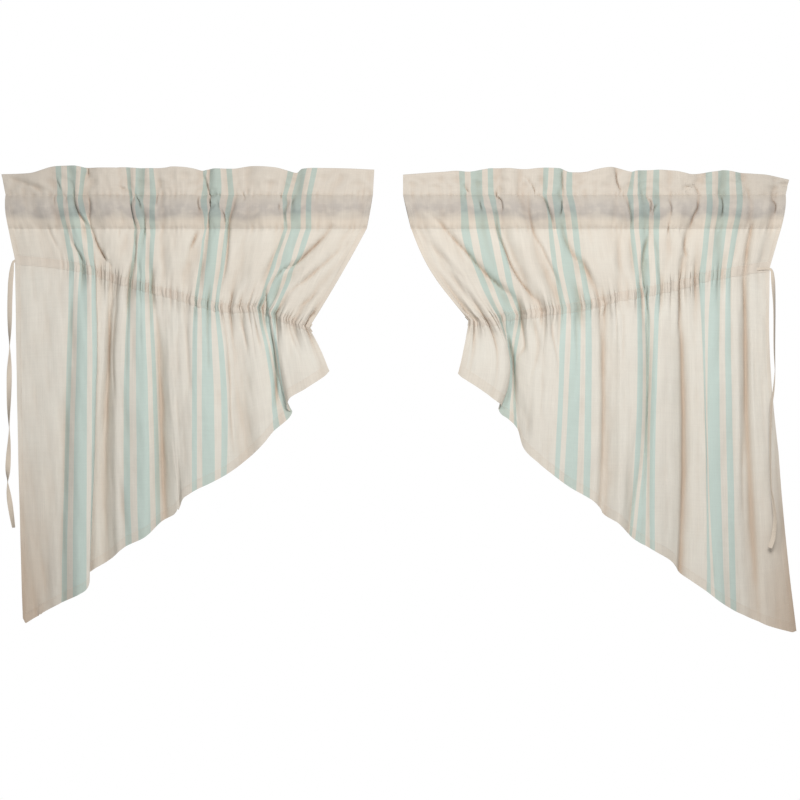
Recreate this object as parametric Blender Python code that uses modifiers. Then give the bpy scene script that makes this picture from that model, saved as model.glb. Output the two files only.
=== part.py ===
# Prairie swag valance: a mirrored pair of gathered cotton panels for one curtain rod.
# Each panel is one cut of striped cotton, turned back at the top for a header and a rod pocket,
# with a slanting drawstring casing sewn on its back and a flat tie that comes out of the casing.
# Metres, Z up. The origin is on the rod's axis, midway between the panels, which face -Y.
# Sizes below are in millimetres and become metres where the points are placed.

import math
from collections import namedtuple

import bmesh
import bpy
import numpy as np
from mathutils import Vector

MM = 0.001

# The flat cut of one panel
CUT_WIDTH = 914.0
OUTER_LENGTH = 914.0
INNER_LENGTH = 457.0
HEADER_DEPTH = 54.0
POCKET_DEPTH = 76.0
CASING_OUTER_DROP = 192.0
CASING_INNER_DROP = 360.0
CASING_WIDTH = 19.0

# How the pair hangs
HALF_SPAN = 794.0
SEAM_HEIGHT = 22.0
POCKET_FOOT_HEIGHT = -45.0
POCKET_BULGE = 19.5
PINCH_LIMIT = 6.0
BLOUSE_DEPTH = 7.0

# Cloth and trim
CLOTH_THICKNESS = 1.2
CASING_THICKNESS = 1.0
CASING_SETBACK = 2.2
SEAM_HALF_GAP = 1.0
HEADER_HALF_GAP = 1.7
FOLDED_EDGE_DEPTH = 2.5
TIE_THICKNESS = 1.0
TIE_STEPS = 36

# Gathers at the casing
GATHER_PITCH = 58.0
GATHER_HEIGHT = 5.0
GATHER_REACH = 42.0
GATHER_START = 80.0
GATHER_FULL = 170.0

# Mesh of one panel
COLUMNS = 64
POCKET_ROWS = (0.2, 0.42, 0.7)
HANG_ROWS = (0.14, 0.34, 0.56, 0.78)

COLLECTION_NAME = "prairie_swag_valance_pair"

# A line runs down the cloth at a fixed place in the flat cut, measured from the outer edge.
# The next six columns give how far in from the pair's outer end it hangs at each level, the next
# three its height above the rod's axis, and the last two how far it stands towards the viewer.
Line = namedtuple(
    "Line",
    "flat top seam pocket casing middle hem top_up casing_up hem_up middle_out hem_out",
)

LEFT_LINES = (
    Line(0, 3, 11, 17, 30, 36, 44, 63, -107, -827, 2, 4),
    Line(60, 57, 60, 72, 83, 85, 82, 65, -111, -810, 0, -7),
    Line(120, 111, 115, 127, 138, 130, 123, 79, -118, -788, 0, 0),
    Line(156, 144, 144, 151, 167, 162, 161, 80, -124, -770, 12, 18),
    Line(178, 159, 155, 167, 180, 182, 180, 78, -127, -757, 10, 12),
    Line(193, 170, 164, 180, 189, 189, 176, 76, -129, -744, 2, -2),
    Line(205, 179, 173, 183, 194, 186, 169, 76, -131, -737, -6, -12),
    Line(232, 196, 193, 205, 209, 195, 183, 76, -136, -724, -16, -22),
    Line(270, 221, 221, 232, 228, 213, 211, 76, -142, -706, -20, -23),
    Line(320, 250, 256, 266, 254, 247, 251, 77, -151, -676, -2, 4),
    Line(356, 280, 276, 284, 280, 284, 290, 75, -158, -657, 8, 12),
    Line(393, 305, 310, 310, 303, 314, 320, 75, -164, -629, -2, -6),
    Line(440, 342, 342, 343, 334, 347, 356, 78, -172, -610, -17, -22),
    Line(467, 364, 362, 362, 352, 344, 339, 77, -177, -596, -8, -7),
    Line(494, 385, 382, 382, 370, 361, 357, 74, -182, -582, 4, 8),
    Line(520, 405, 400, 399, 385, 380, 383, 70, -187, -568, 8, 12),
    Line(556, 427, 429, 427, 411, 413, 416, 74, -195, -552, 10, 14),
    Line(593, 461, 465, 454, 434, 450, 451, 74, -200, -533, 3, 4),
    Line(640, 501, 497, 495, 462, 477, 485, 79, -202, -508, -10, -12),
    Line(690, 546, 538, 539, 492, 511, 523, 76, -201, -473, -2, 0),
    Line(720, 572, 562, 564, 509, 531, 544, 70, -201, -447, -5, -6),
    Line(738, 589, 576, 576, 520, 540, 562, 66, -205, -432, -11, -14),
    Line(756, 601, 590, 588, 532, 548, 580, 74, -209, -417, -16, -20),
    Line(787, 626, 615, 614, 544, 550, 560, 75, -214, -400, -6, -6),
    Line(817, 654, 640, 642, 558, 562, 574, 75, -220, -384, 6, 8),
    Line(860, 693, 684, 681, 583, 596, 608, 74, -230, -363, 8, 10),
    Line(914, 744, 741, 729, 614, 638, 655, 72, -242, -332, 2, 0),
)

RIGHT_LINES = (
    Line(0, 20, 27, 36, 58, 41, 4, 52, -122, -850, 0, 5),
    Line(60, 70, 71, 78, 95, 83, 62, 62, -125, -834, 4, 4),
    Line(85, 89, 89, 96, 110, 107, 89, 64, -128, -823, -10, -6),
    Line(120, 117, 113, 122, 137, 134, 125, 66, -132, -806, 2, -2),
    Line(156, 150, 151, 157, 165, 171, 159, 71, -137, -785, 8, 10),
    Line(193, 185, 184, 189, 198, 185, 185, 66, -145, -765, 4, 4),
    Line(232, 213, 212, 217, 223, 213, 217, 63, -152, -743, -8, -4),
    Line(255, 229, 229, 233, 237, 228, 236, 66, -156, -729, -16, -16),
    Line(280, 248, 246, 250, 253, 252, 251, 70, -160, -708, -9, -11),
    Line(320, 278, 278, 278, 276, 286, 288, 72, -165, -685, 7, 8),
    Line(340, 298, 300, 296, 292, 297, 303, 71, -168, -676, -4, 4),
    Line(356, 315, 314, 308, 304, 304, 319, 71, -170, -669, -8, 5),
    Line(376, 324, 326, 324, 314, 314, 330, 70, -172, -660, 0, -2),
    Line(393, 332, 341, 336, 323, 324, 337, 68, -174, -653, 6, -7),
    Line(440, 372, 374, 374, 356, 352, 360, 77, -180, -630, 9, 7),
    Line(480, 407, 408, 405, 383, 377, 390, 72, -185, -611, -6, -6),
    Line(500, 428, 429, 422, 398, 397, 402, 67, -189, -594, -18, -18),
    Line(520, 451, 451, 439, 414, 417, 418, 67, -195, -581, -7, -7),
    Line(556, 477, 481, 473, 443, 448, 457, 75, -201, -558, 6, 8),
    Line(593, 508, 509, 499, 472, 479, 487, 76, -205, -536, 8, 8),
    Line(640, 544, 544, 535, 502, 509, 515, 73, -209, -513, 6, 4),
    Line(690, 585, 584, 572, 533, 541, 547, 75, -213, -481, -4, -4),
    Line(720, 609, 608, 592, 550, 561, 560, 75, -215, -443, -14, -15),
    Line(745, 631, 630, 618, 566, 571, 578, 72, -217, -424, -18, -19),
    Line(772, 656, 654, 645, 585, 583, 597, 68, -220, -409, -15, -16),
    Line(797, 680, 678, 676, 600, 577, 583, 70, -225, -397, -5, -5),
    Line(822, 702, 700, 697, 613, 589, 598, 68, -229, -387, 6, 6),
    Line(868, 745, 743, 735, 634, 626, 637, 65, -229, -362, 8, 8),
    Line(914, 787, 787, 771, 656, 666, 678, 62, -226, -336, 2, 2),
)

# A fold crosses the upper cloth. Its centre is given at three levels of the flat cut, its half
# width once, and how far it stands out at five levels; a valley is negative.
Fold = namedtuple("Fold", "top pocket casing half_width out_top out_seam out_pocket out_upper out_casing")

LEFT_FOLDS = (
    Fold(30, 70, 60, 22, -6, -3, -1, -2, 0),
    Fold(112, 108, 118, 11, -1, -5, -3, -3, -2),
    Fold(165, 160, 160, 20, 5, 3, 3, 3, 0),
    Fold(150, 178, 190, 10, -2, -7, -7, -2, 0),
    Fold(202, 200, 246, 14, -10, -7, -8, -8, -3),
    Fold(255, 255, 270, 25, 3, 2, 3, 5, 2),
    Fold(300, 300, 305, 12, -4, -4, -5, -4, -2),
    Fold(326, 325, 330, 10, -6, -8, -7, -5, -3),
    Fold(356, 366, 375, 10, -6, -7, -6, -5, -3),
    Fold(400, 415, 431, 12, -2, -6, -4, -5, -3),
    Fold(460, 460, 440, 30, 5, 3, 4, 5, 2),
    Fold(512, 515, 470, 13, -6, -6, -6, -8, -4),
    Fold(538, 538, 527, 10, -7, -8, -7, -6, -4),
    Fold(560, 560, 556, 14, 4, 3, 4, 4, 2),
    Fold(583, 585, 580, 10, -3, -5, -6, -4, -2),
    Fold(604, 600, 612, 10, -4, -8, -5, -3, -2),
    Fold(628, 630, 640, 14, -5, -3, -2, -3, -3),
    Fold(680, 668, 690, 28, 7, 3, 4, 5, 2),
    Fold(738, 714, 700, 14, -11, -8, -3, -3, -2),
    Fold(760, 735, 728, 10, -2, -6, -5, -3, -2),
    Fold(780, 785, 775, 18, 5, 3, 2, 4, 3),
    Fold(834, 834, 743, 18, 0, 0, -3, -10, -8),
    Fold(860, 852, 815, 20, 2, 2, 2, 6, 3),
    Fold(880, 882, 800, 16, 0, 0, -2, -7, -6),
    Fold(900, 906, 856, 13, 0, 0, 0, -5, -5),
)

RIGHT_FOLDS = (
    Fold(28, 30, 30, 11, 0, -6, -3, 0, 0),
    Fold(60, 60, 55, 24, 4, 2, 3, 3, 1),
    Fold(112, 86, 78, 11, -6, -5, -5, -6, -5),
    Fold(158, 158, 150, 10, -3, -8, -6, -4, -3),
    Fold(180, 186, 192, 14, 5, 3, 4, 4, 2),
    Fold(205, 233, 252, 13, -10, -7, -7, -6, -4),
    Fold(262, 264, 266, 20, 5, 3, 4, 4, 1),
    Fold(297, 296, 282, 12, -4, -6, -6, -4, -3),
    Fold(325, 324, 330, 10, -2, -7, -3, 0, 0),
    Fold(350, 346, 358, 11, -6, -8, -7, -8, -5),
    Fold(393, 398, 396, 11, -3, -8, -7, -5, -3),
    Fold(425, 425, 428, 16, -7, -3, -4, -5, -3),
    Fold(456, 460, 462, 28, 6, 3, 4, 5, 2),
    Fold(508, 510, 505, 14, -7, -2, 0, 0, 0),
    Fold(540, 553, 497, 13, -5, -7, -6, -9, -7),
    Fold(600, 585, 585, 11, -3, -8, -6, -3, -2),
    Fold(655, 636, 592, 14, -5, -7, -7, -8, -4),
    Fold(680, 680, 625, 24, 5, 3, 5, 6, 3),
    Fold(704, 722, 655, 15, -7, -8, -8, -10, -7),
    Fold(752, 752, 745, 10, -2, -6, -4, -2, -2),
    Fold(790, 775, 768, 14, -6, -3, -1, 0, 0),
    Fold(832, 832, 726, 18, 0, -1, -6, -10, -8),
    Fold(860, 862, 800, 22, 3, 2, 3, 6, 3),
    Fold(885, 888, 838, 16, 0, 0, -3, -6, -5),
    Fold(902, 908, 880, 12, 0, 0, 0, -4, -5),
)

# A tie's route, hung from the casing's open end: in from the pair's outer end, height above the
# rod's axis, distance towards the viewer, the turn of the flat tape in degrees, and its width.
Stop = namedtuple("Stop", "inward up out turn width")

LEFT_TIE = (
    Stop(26.8, -109, -1, 0, 4),
    Stop(25.0, -117, -1, 0, 6.5),
    Stop(23.0, -133, 0, 0, 9),
    Stop(21.0, -160, 1, 4, 10),
    Stop(20.0, -207, 2, 12, 10),
    Stop(20.0, -286, 3, 90, 10),
    Stop(19.0, -346, 3, 172, 10),
    Stop(18.0, -405, 2, 225, 10),
    Stop(19.0, -455, 2, 275, 10),
    Stop(16.5, -515, 2, 352, 10),
    Stop(16.0, -548, 2, 440, 10),
    Stop(21.0, -594, 3, 530, 10),
    Stop(28.0, -639, 4, 580, 9),
)

RIGHT_TIE = (
    Stop(54.8, -125, -1, 0, 4),
    Stop(53.2, -133, 0, 8, 6),
    Stop(51.8, -155, 3, 30, 9),
    Stop(50.5, -205, 8, 58, 10),
    Stop(51.5, -286, 14, 66, 10),
    Stop(51.0, -325, 17, 80, 10),
    Stop(53.5, -364, 19, 96, 10),
    Stop(58.5, -400, 20, 104, 10),
    Stop(60.5, -482, 20, 100, 10),
    Stop(59.0, -556, 20, 94, 10),
    Stop(54.0, -590, 19, 110, 10),
    Stop(51.0, -619, 19, 118, 10),
    Stop(54.0, -655, 19, 140, 10),
    Stop(61.0, -678, 19, 166, 9),
)

Panel = namedtuple("Panel", "name side lines folds inner_bow outer_bow gather_phase tie")

PANELS = (
    Panel("left", -1, LEFT_LINES, LEFT_FOLDS, 3.0, 0.0, 0.6, LEFT_TIE),
    Panel("right", 1, RIGHT_LINES, RIGHT_FOLDS, 15.0, 5.5, 2.1, RIGHT_TIE),
)


def smooth_curve(nodes, values, places):
    """Read a monotone cubic through the nodes at the given places."""
    nodes = np.asarray(nodes, dtype=float)
    values = np.asarray(values, dtype=float)
    steps = np.diff(nodes)
    slopes = np.diff(values) / steps
    tangents = np.zeros(len(nodes))
    tangents[0] = slopes[0]
    tangents[-1] = slopes[-1]
    for k in range(1, len(nodes) - 1):
        if slopes[k - 1] * slopes[k] > 0.0:
            tangents[k] = 2.0 * slopes[k - 1] * slopes[k] / (slopes[k - 1] + slopes[k])
    places = np.clip(places, nodes[0], nodes[-1])
    piece = np.clip(np.searchsorted(nodes, places, side="right") - 1, 0, len(nodes) - 2)
    width = steps[piece]
    share = (places - nodes[piece]) / width
    rise = values[piece + 1] - values[piece]
    swing = share * (1.0 - share)
    return (
        values[piece]
        + rise * share * share * (3.0 - 2.0 * share)
        + width * swing * ((1.0 - share) * tangents[piece] - share * tangents[piece + 1])
    )


def column_at(panel, column, flat):
    """Read one column of the panel's line table at places across the flat cut."""
    places = [line.flat for line in panel.lines]
    values = [getattr(line, column) for line in panel.lines]
    return smooth_curve(places, values, flat)


def casing_drop(flat):
    return CASING_OUTER_DROP + (CASING_INNER_DROP - CASING_OUTER_DROP) * flat / CUT_WIDTH


def hem_drop(flat):
    return OUTER_LENGTH + (INNER_LENGTH - OUTER_LENGTH) * flat / CUT_WIDTH


def between(nodes, values, place):
    """Read straight lines between nodes that differ from point to point."""
    result = values[0] + 0.0 * place
    for low, high, first, last in zip(nodes, nodes[1:], values, values[1:]):
        share = np.clip((place - low) / (high - low), 0.0, 1.0)
        result = result + (last - first) * share
    return result


def easy_middle(first, middle, last, share):
    """A curve through three values at 0, 0.5 and 1 of the share."""
    return first + (4.0 * middle - 3.0 * first - last) * share + 2.0 * (first + last - 2.0 * middle) * share ** 2


def fold_out(panel, flat, drop):
    """How far the upper folds push the cloth out; the rod keeps the pinches shallow."""
    pocket_foot = HEADER_DEPTH + POCKET_DEPTH
    casing = casing_drop(flat)
    upper = 0.5 * (pocket_foot + casing)
    levels = (0.0, HEADER_DEPTH, pocket_foot, upper, casing)
    total = 0.0 * flat
    for fold in panel.folds:
        centre = between((0.0, pocket_foot, casing), (fold.top, fold.pocket, fold.casing), drop)
        heights = (fold.out_top, fold.out_seam, fold.out_pocket, fold.out_upper, fold.out_casing)
        height = between(levels, heights, drop)
        reach = (flat - centre) / fold.half_width
        total = total + height * np.exp(-0.8 * reach * reach)
    pinch = PINCH_LIMIT * np.tanh(total / PINCH_LIMIT)
    total = np.where((total < 0.0) & (drop < upper), pinch, total)
    below = np.clip(drop - casing, 0.0, None)
    return total * np.exp(-below / GATHER_REACH)


def gather_out(panel, flat, drop):
    """Puckers where the drawstring draws up the casing, fading above and below it."""
    casing = casing_drop(flat)
    start = np.clip((flat - GATHER_START) / (GATHER_FULL - GATHER_START), 0.0, 1.0)
    fade = np.exp(-((drop - casing) / GATHER_REACH) ** 2)
    phase = 2.0 * math.pi * flat / GATHER_PITCH + panel.gather_phase
    return GATHER_HEIGHT * start * fade * (np.sin(phase) + 0.35 * np.sin(1.7 * phase + 1.0))


def hang_out(panel, flat, drop):
    """The long folds that open out below the casing."""
    casing = casing_drop(flat)
    share = np.clip((drop - casing) / (hem_drop(flat) - casing), 0.0, 1.0)
    middle = column_at(panel, "middle_out", flat)
    hem = column_at(panel, "hem_out", flat)
    opened = easy_middle(0.35 * middle, middle, hem, share)
    above = np.clip(casing - drop, 0.0, None)
    return opened * np.exp(-above / GATHER_REACH)


def blouse_out(flat, drop):
    """The soft forward curve of the cloth between the pocket and the casing."""
    pocket_foot = HEADER_DEPTH + POCKET_DEPTH
    share = np.clip((drop - pocket_foot) / (casing_drop(flat) - pocket_foot), 0.0, 1.0)
    return BLOUSE_DEPTH * np.sin(math.pi * share) * flat / CUT_WIDTH


def sheet_middle(panel, flat, drop):
    """Inward place, outward place and height of the cloth, before the pocket is opened."""
    pocket_foot = HEADER_DEPTH + POCKET_DEPTH
    casing = casing_drop(flat)
    levels = (0.0, HEADER_DEPTH, pocket_foot, casing)
    share = np.clip((drop - casing) / (hem_drop(flat) - casing), 0.0, 1.0)
    rise = np.clip((drop - pocket_foot) / (casing - pocket_foot), 0.0, 1.0)

    across = [column_at(panel, name, flat) for name in ("top", "seam", "pocket", "casing")]
    inward = between(levels, across, drop)
    lower = easy_middle(across[3], column_at(panel, "middle", flat), column_at(panel, "hem", flat), share)
    lower = lower + panel.outer_bow * np.sin(2.0 * math.pi * np.clip(share, 0.0, 0.5)) * np.exp(-flat / 60.0)
    inward = np.where(drop > casing, lower, inward)
    inward = inward + panel.inner_bow * np.sin(math.pi * rise) * (flat / CUT_WIDTH) ** 4

    heights = (
        column_at(panel, "top_up", flat),
        SEAM_HEIGHT + 0.0 * flat,
        POCKET_FOOT_HEIGHT + 0.0 * flat,
        column_at(panel, "casing_up", flat),
    )
    up = between(levels, heights, drop)
    up = up + (column_at(panel, "hem_up", flat) - heights[3]) * share

    out = fold_out(panel, flat, drop) + gather_out(panel, flat, drop)
    out = out + hang_out(panel, flat, drop) + blouse_out(flat, drop)
    return inward, out, up


def sheet_normal(panel, flat, drop, step):
    """Unit direction out of the cloth's face, as inward, outward and up shares."""
    right = np.array(sheet_middle(panel, flat + step, drop)) - np.array(sheet_middle(panel, flat - step, drop))
    down = np.array(sheet_middle(panel, flat, drop + step)) - np.array(sheet_middle(panel, flat, drop - step))
    normal = np.cross(right, down, axis=0)
    normal = normal * np.where(normal[1] < 0.0, -1.0, 1.0)
    return normal / np.linalg.norm(normal, axis=0)


def layer_gap(drop):
    """Half the distance between the turned-back layers, closed to a ridge at the top edge."""
    along = np.clip(drop / HEADER_DEPTH, 0.0, 1.0)
    gap = SEAM_HALF_GAP + (HEADER_HALF_GAP - SEAM_HALF_GAP) * np.sin(math.pi * along)
    return gap * np.clip(drop / FOLDED_EDGE_DEPTH, 0.0, 1.0) ** 0.5


def pocket_opening(drop):
    """Share of the pocket's bulge: none at its two seams, full at the rod."""
    along = np.clip((drop - HEADER_DEPTH) / POCKET_DEPTH, 0.0, 1.0)
    return np.sin(math.pi * along ** 0.63)


def cloth_points(panel, flat, drop, behind):
    """Points of the front layer, or of the layer turned back behind it."""
    flat = np.clip(flat, 0.0, CUT_WIDTH)
    inward, out, up = sheet_middle(panel, flat, drop)
    normal = sheet_normal(panel, flat, drop, 1.0)
    opened = pocket_opening(drop)
    pocket_foot = HEADER_DEPTH + POCKET_DEPTH
    doubled = np.where(drop <= pocket_foot, 1.0, np.exp((pocket_foot - drop) / 8.0))
    side = np.where(behind, -1.0, 1.0)
    offset = side * layer_gap(drop) * doubled
    out = np.where(behind, out * (1.0 - 2.0 * opened), out)
    out = out + side * POCKET_BULGE * opened
    return inward + normal[0] * offset, out + normal[1] * offset, up + normal[2] * offset


def place(panel, inward, out, up):
    """A point of the panel in metres, in the part's frame."""
    return Vector((panel.side * (HALF_SPAN - inward) * MM, -out * MM, up * MM))


def panel_rows():
    """Levels down the sheet: back layer from the pocket's foot, over the top edge, down the front."""
    pocket_foot = HEADER_DEPTH + POCKET_DEPTH
    pocket = [HEADER_DEPTH + POCKET_DEPTH * share for share in POCKET_ROWS]
    doubled = [FOLDED_EDGE_DEPTH, 0.5 * HEADER_DEPTH, HEADER_DEPTH] + pocket + [pocket_foot]
    rows = [("back", level) for level in reversed(doubled)]
    rows.append(("front", 0.0))
    rows += [("front", level) for level in doubled]
    rows += [("upper", 0.5), ("casing", -0.5), ("casing", 0.5)]
    rows += [("hang", share) for share in HANG_ROWS]
    rows.append(("hang", 1.0))
    return rows


def row_drop(row, flat):
    """The drop of a row of the mesh at places across the cut."""
    kind, value = row
    casing = casing_drop(flat)
    pocket_foot = HEADER_DEPTH + POCKET_DEPTH
    if kind == "upper":
        return pocket_foot + value * (casing - pocket_foot)
    if kind == "casing":
        return casing + value * CASING_WIDTH
    if kind == "hang":
        low = casing + 0.5 * CASING_WIDTH
        return low + value * (hem_drop(flat) - low)
    return value + 0.0 * flat


def shaped_grid(name, rows_of_points, closed_thickness):
    """A grid whose points are moved to the given rows, then given its thickness."""
    row_count = len(rows_of_points)
    column_count = len(rows_of_points[0])
    mesh = bpy.data.meshes.new(name)
    bm = bmesh.new()
    bmesh.ops.create_grid(bm, x_segments=column_count - 1, y_segments=row_count - 1, size=0.5)
    for vert in bm.verts:
        column = round((vert.co.x + 0.5) * (column_count - 1))
        row = round((vert.co.y + 0.5) * (row_count - 1))
        vert.co = rows_of_points[row][column]
    bmesh.ops.recalc_face_normals(bm, faces=bm.faces)
    bm.to_mesh(mesh)
    bm.free()
    mesh.shade_smooth()
    obj = bpy.data.objects.new(name, mesh)
    wall = obj.modifiers.new("cloth thickness", "SOLIDIFY")
    wall.thickness = closed_thickness * MM
    wall.offset = 0.0
    wall.use_rim = True
    return obj


def make_panel(panel):
    """One cut of cloth: hanging front, header and rod pocket in a single folded sheet."""
    flat = np.linspace(0.0, CUT_WIDTH, COLUMNS + 1)
    rows = []
    for row in panel_rows():
        drop = row_drop(row, flat)
        behind = np.full(flat.shape, row[0] == "back")
        inward, out, up = cloth_points(panel, flat, drop, behind)
        rows.append([place(panel, *point) for point in zip(inward, out, up)])
    return shaped_grid(panel.name + "_panel", rows, CLOTH_THICKNESS)


def make_casing(panel):
    """The drawstring casing: a strip that follows the gathers on the back of the panel."""
    flat = np.linspace(0.0, CUT_WIDTH, COLUMNS + 1)
    in_front = np.full(flat.shape, False)
    rows = []
    for share in (-0.5, 0.5):
        drop = row_drop(("casing", share), flat)
        inward, out, up = cloth_points(panel, flat, drop, in_front)
        normal = sheet_normal(panel, flat, drop, CUT_WIDTH / COLUMNS)
        inward = inward - normal[0] * CASING_SETBACK
        out = out - normal[1] * CASING_SETBACK
        up = up - normal[2] * CASING_SETBACK
        rows.append([place(panel, *point) for point in zip(inward, out, up)])
    return shaped_grid(panel.name + "_casing", rows, CASING_THICKNESS)


def tie_route(panel):
    """Evenly spaced stops along the tie, read from a smooth curve through its route."""
    stops = np.array(panel.tie, dtype=float)
    chords = np.linalg.norm(np.diff(stops[:, :3], axis=0), axis=1)
    length = np.concatenate(([0.0], np.cumsum(chords)))
    places = np.linspace(0.0, length[-1], TIE_STEPS + 1)
    return [smooth_curve(length, stops[:, k], places) for k in range(stops.shape[1])]


def make_tie(panel):
    """The free end of the drawstring: a flat tape that twists as it hangs."""
    inward, up, out, turn, width = tie_route(panel)
    run_inward = np.gradient(inward)
    run_up = np.gradient(up)
    run = np.hypot(run_inward, run_up)
    face = np.cos(np.radians(turn))
    edge = np.sin(np.radians(turn))
    rows = []
    for side in (-0.5, 0.5):
        reach = side * width
        points = zip(
            inward - reach * face * run_up / run,
            out + reach * edge,
            up + reach * face * run_inward / run,
        )
        rows.append([place(panel, *point) for point in points])
    return shaped_grid(panel.name + "_tie", rows, TIE_THICKNESS)


def fabric_material(name, colour, roughness):
    material = bpy.data.materials.new(name)
    material.use_nodes = True
    shader = material.node_tree.nodes["Principled BSDF"]
    shader.inputs["Base Color"].default_value = (*colour, 1.0)
    shader.inputs["Roughness"].default_value = roughness
    shader.inputs["Metallic"].default_value = 0.0
    return material


def main():
    for old in list(bpy.data.objects):
        bpy.data.objects.remove(old, do_unlink=True)
    collection = bpy.data.collections.new(COLLECTION_NAME)
    bpy.context.scene.collection.children.link(collection)
    for panel in PANELS:
        pieces = (
            (make_panel(panel), "striped cotton", (0.70, 0.65, 0.58), 0.9),
            (make_casing(panel), "plain cotton casing", (0.66, 0.61, 0.54), 0.9),
            (make_tie(panel), "cotton tie tape", (0.62, 0.56, 0.49), 0.85),
        )
        for obj, finish, colour, roughness in pieces:
            obj.data.materials.append(fabric_material(panel.name + " " + finish, colour, roughness))
            collection.objects.link(obj)


main()
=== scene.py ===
# Pair of prairie swag valances in striped cotton: finish, fine folds, ties, light and camera.
# Cloth sizes are in millimetres and become metres where points are placed; the ties are in metres.
import math
from collections import namedtuple

import bpy
import numpy as np
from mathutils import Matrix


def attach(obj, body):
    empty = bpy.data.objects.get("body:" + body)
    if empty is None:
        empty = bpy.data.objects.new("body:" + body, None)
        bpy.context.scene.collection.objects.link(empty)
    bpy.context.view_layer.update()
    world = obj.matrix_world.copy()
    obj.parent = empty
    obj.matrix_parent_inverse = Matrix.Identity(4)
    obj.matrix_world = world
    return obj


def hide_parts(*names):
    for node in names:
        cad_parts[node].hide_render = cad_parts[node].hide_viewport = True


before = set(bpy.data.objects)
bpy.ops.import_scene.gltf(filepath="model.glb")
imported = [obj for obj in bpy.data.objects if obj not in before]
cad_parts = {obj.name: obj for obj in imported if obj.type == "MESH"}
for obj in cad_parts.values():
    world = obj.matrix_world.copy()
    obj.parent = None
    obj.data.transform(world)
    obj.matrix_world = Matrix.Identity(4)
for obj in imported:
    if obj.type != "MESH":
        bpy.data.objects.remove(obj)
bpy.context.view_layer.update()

mm = 0.001
print("frame loaded:", sorted(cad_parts))


def linearColour(hexText):
    shares = [int(hexText[k:k + 2], 16) / 255 for k in (1, 3, 5)]
    return tuple(s / 12.92 if s <= 0.04045 else ((s + 0.055) / 1.055) ** 2.4 for s in shares) + (1.0,)


# Adds a node and returns one of its outputs; a link is a socket or a plain value
def addNode(tree, kind, settings=None, links=None, output=0):
    node = tree.nodes.new("ShaderNode" + kind)
    for key, value in (settings or {}).items():
        setattr(node, key, value)
    for key, source in (links or {}).items():
        if isinstance(source, bpy.types.NodeSocket):
            tree.links.new(source, node.inputs[key])
        else:
            node.inputs[key].default_value = source
    return node.outputs[output] if node.outputs else node


# Camera: level and straight on, far enough back that the pair shows as flat as in a catalogue
cameraSetup = {
    "distance": 4.5,
    "pictureWidth": 1.5896,
    "sensorWidth": 36.0,
    "across": 0.001,
    "height": -0.3855,
}


def addCamera(setup):
    place = (setup["across"], -setup["distance"], setup["height"])
    bpy.ops.object.camera_add(location=place, rotation=(math.radians(90), 0, 0))
    camera = bpy.context.object
    camera.data.sensor_width = setup["sensorWidth"]
    camera.data.lens = setup["sensorWidth"] * setup["distance"] / setup["pictureWidth"]
    bpy.context.scene.camera = camera
    bpy.context.scene.view_settings.view_transform = "Standard"


addCamera(cameraSetup)
print("camera set")

# The flat cut of one panel, in millimetres
cut = {
    "width": 914.0,
    "outerLength": 914.0,
    "innerLength": 457.0,
    "header": 54.0,
    "pocket": 76.0,
    "casingOuter": 192.0,
    "casingInner": 360.0,
    "casingWidth": 19.0,
    "sideHem": 12.0,
    "bottomHem": 19.0,
}
footDrop = cut["header"] + cut["pocket"]

# How the pair hangs
hang = {
    "halfSpan": 794.0,
    "seamHeight": 22.0,
    "footHeight": -45.0,
    "pocketBulge": 19.5,
    "pocketRound": 0.85,
    "pinchLimit": 6.0,
    "foldSharp": 0.8,
    "blouse": 7.0,
    "gatherPitch": 58.0,
    "gatherHeight": 5.0,
    "gatherReach": 42.0,
    "gatherStart": 80.0,
    "gatherFull": 170.0,
    "secondGather": (0.35, 1.7),
    "casingOut": 0.35,
    "outerBowReach": 60,
    "seamGap": 1.0,
    "headerGap": 1.7,
    "foldedEdge": 2.5,
    "gapFade": 8,
}

# A line runs down the cloth at a fixed place in the flat cut, measured from the outer edge: how far
# in from the pair's outer end it hangs at six levels, its height at three, how far out it stands at two
hangLine = namedtuple(
    "hangLine",
    "flat top seam pocket casing middle hem topUp casingUp hemUp middleOut hemOut",
)

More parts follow.
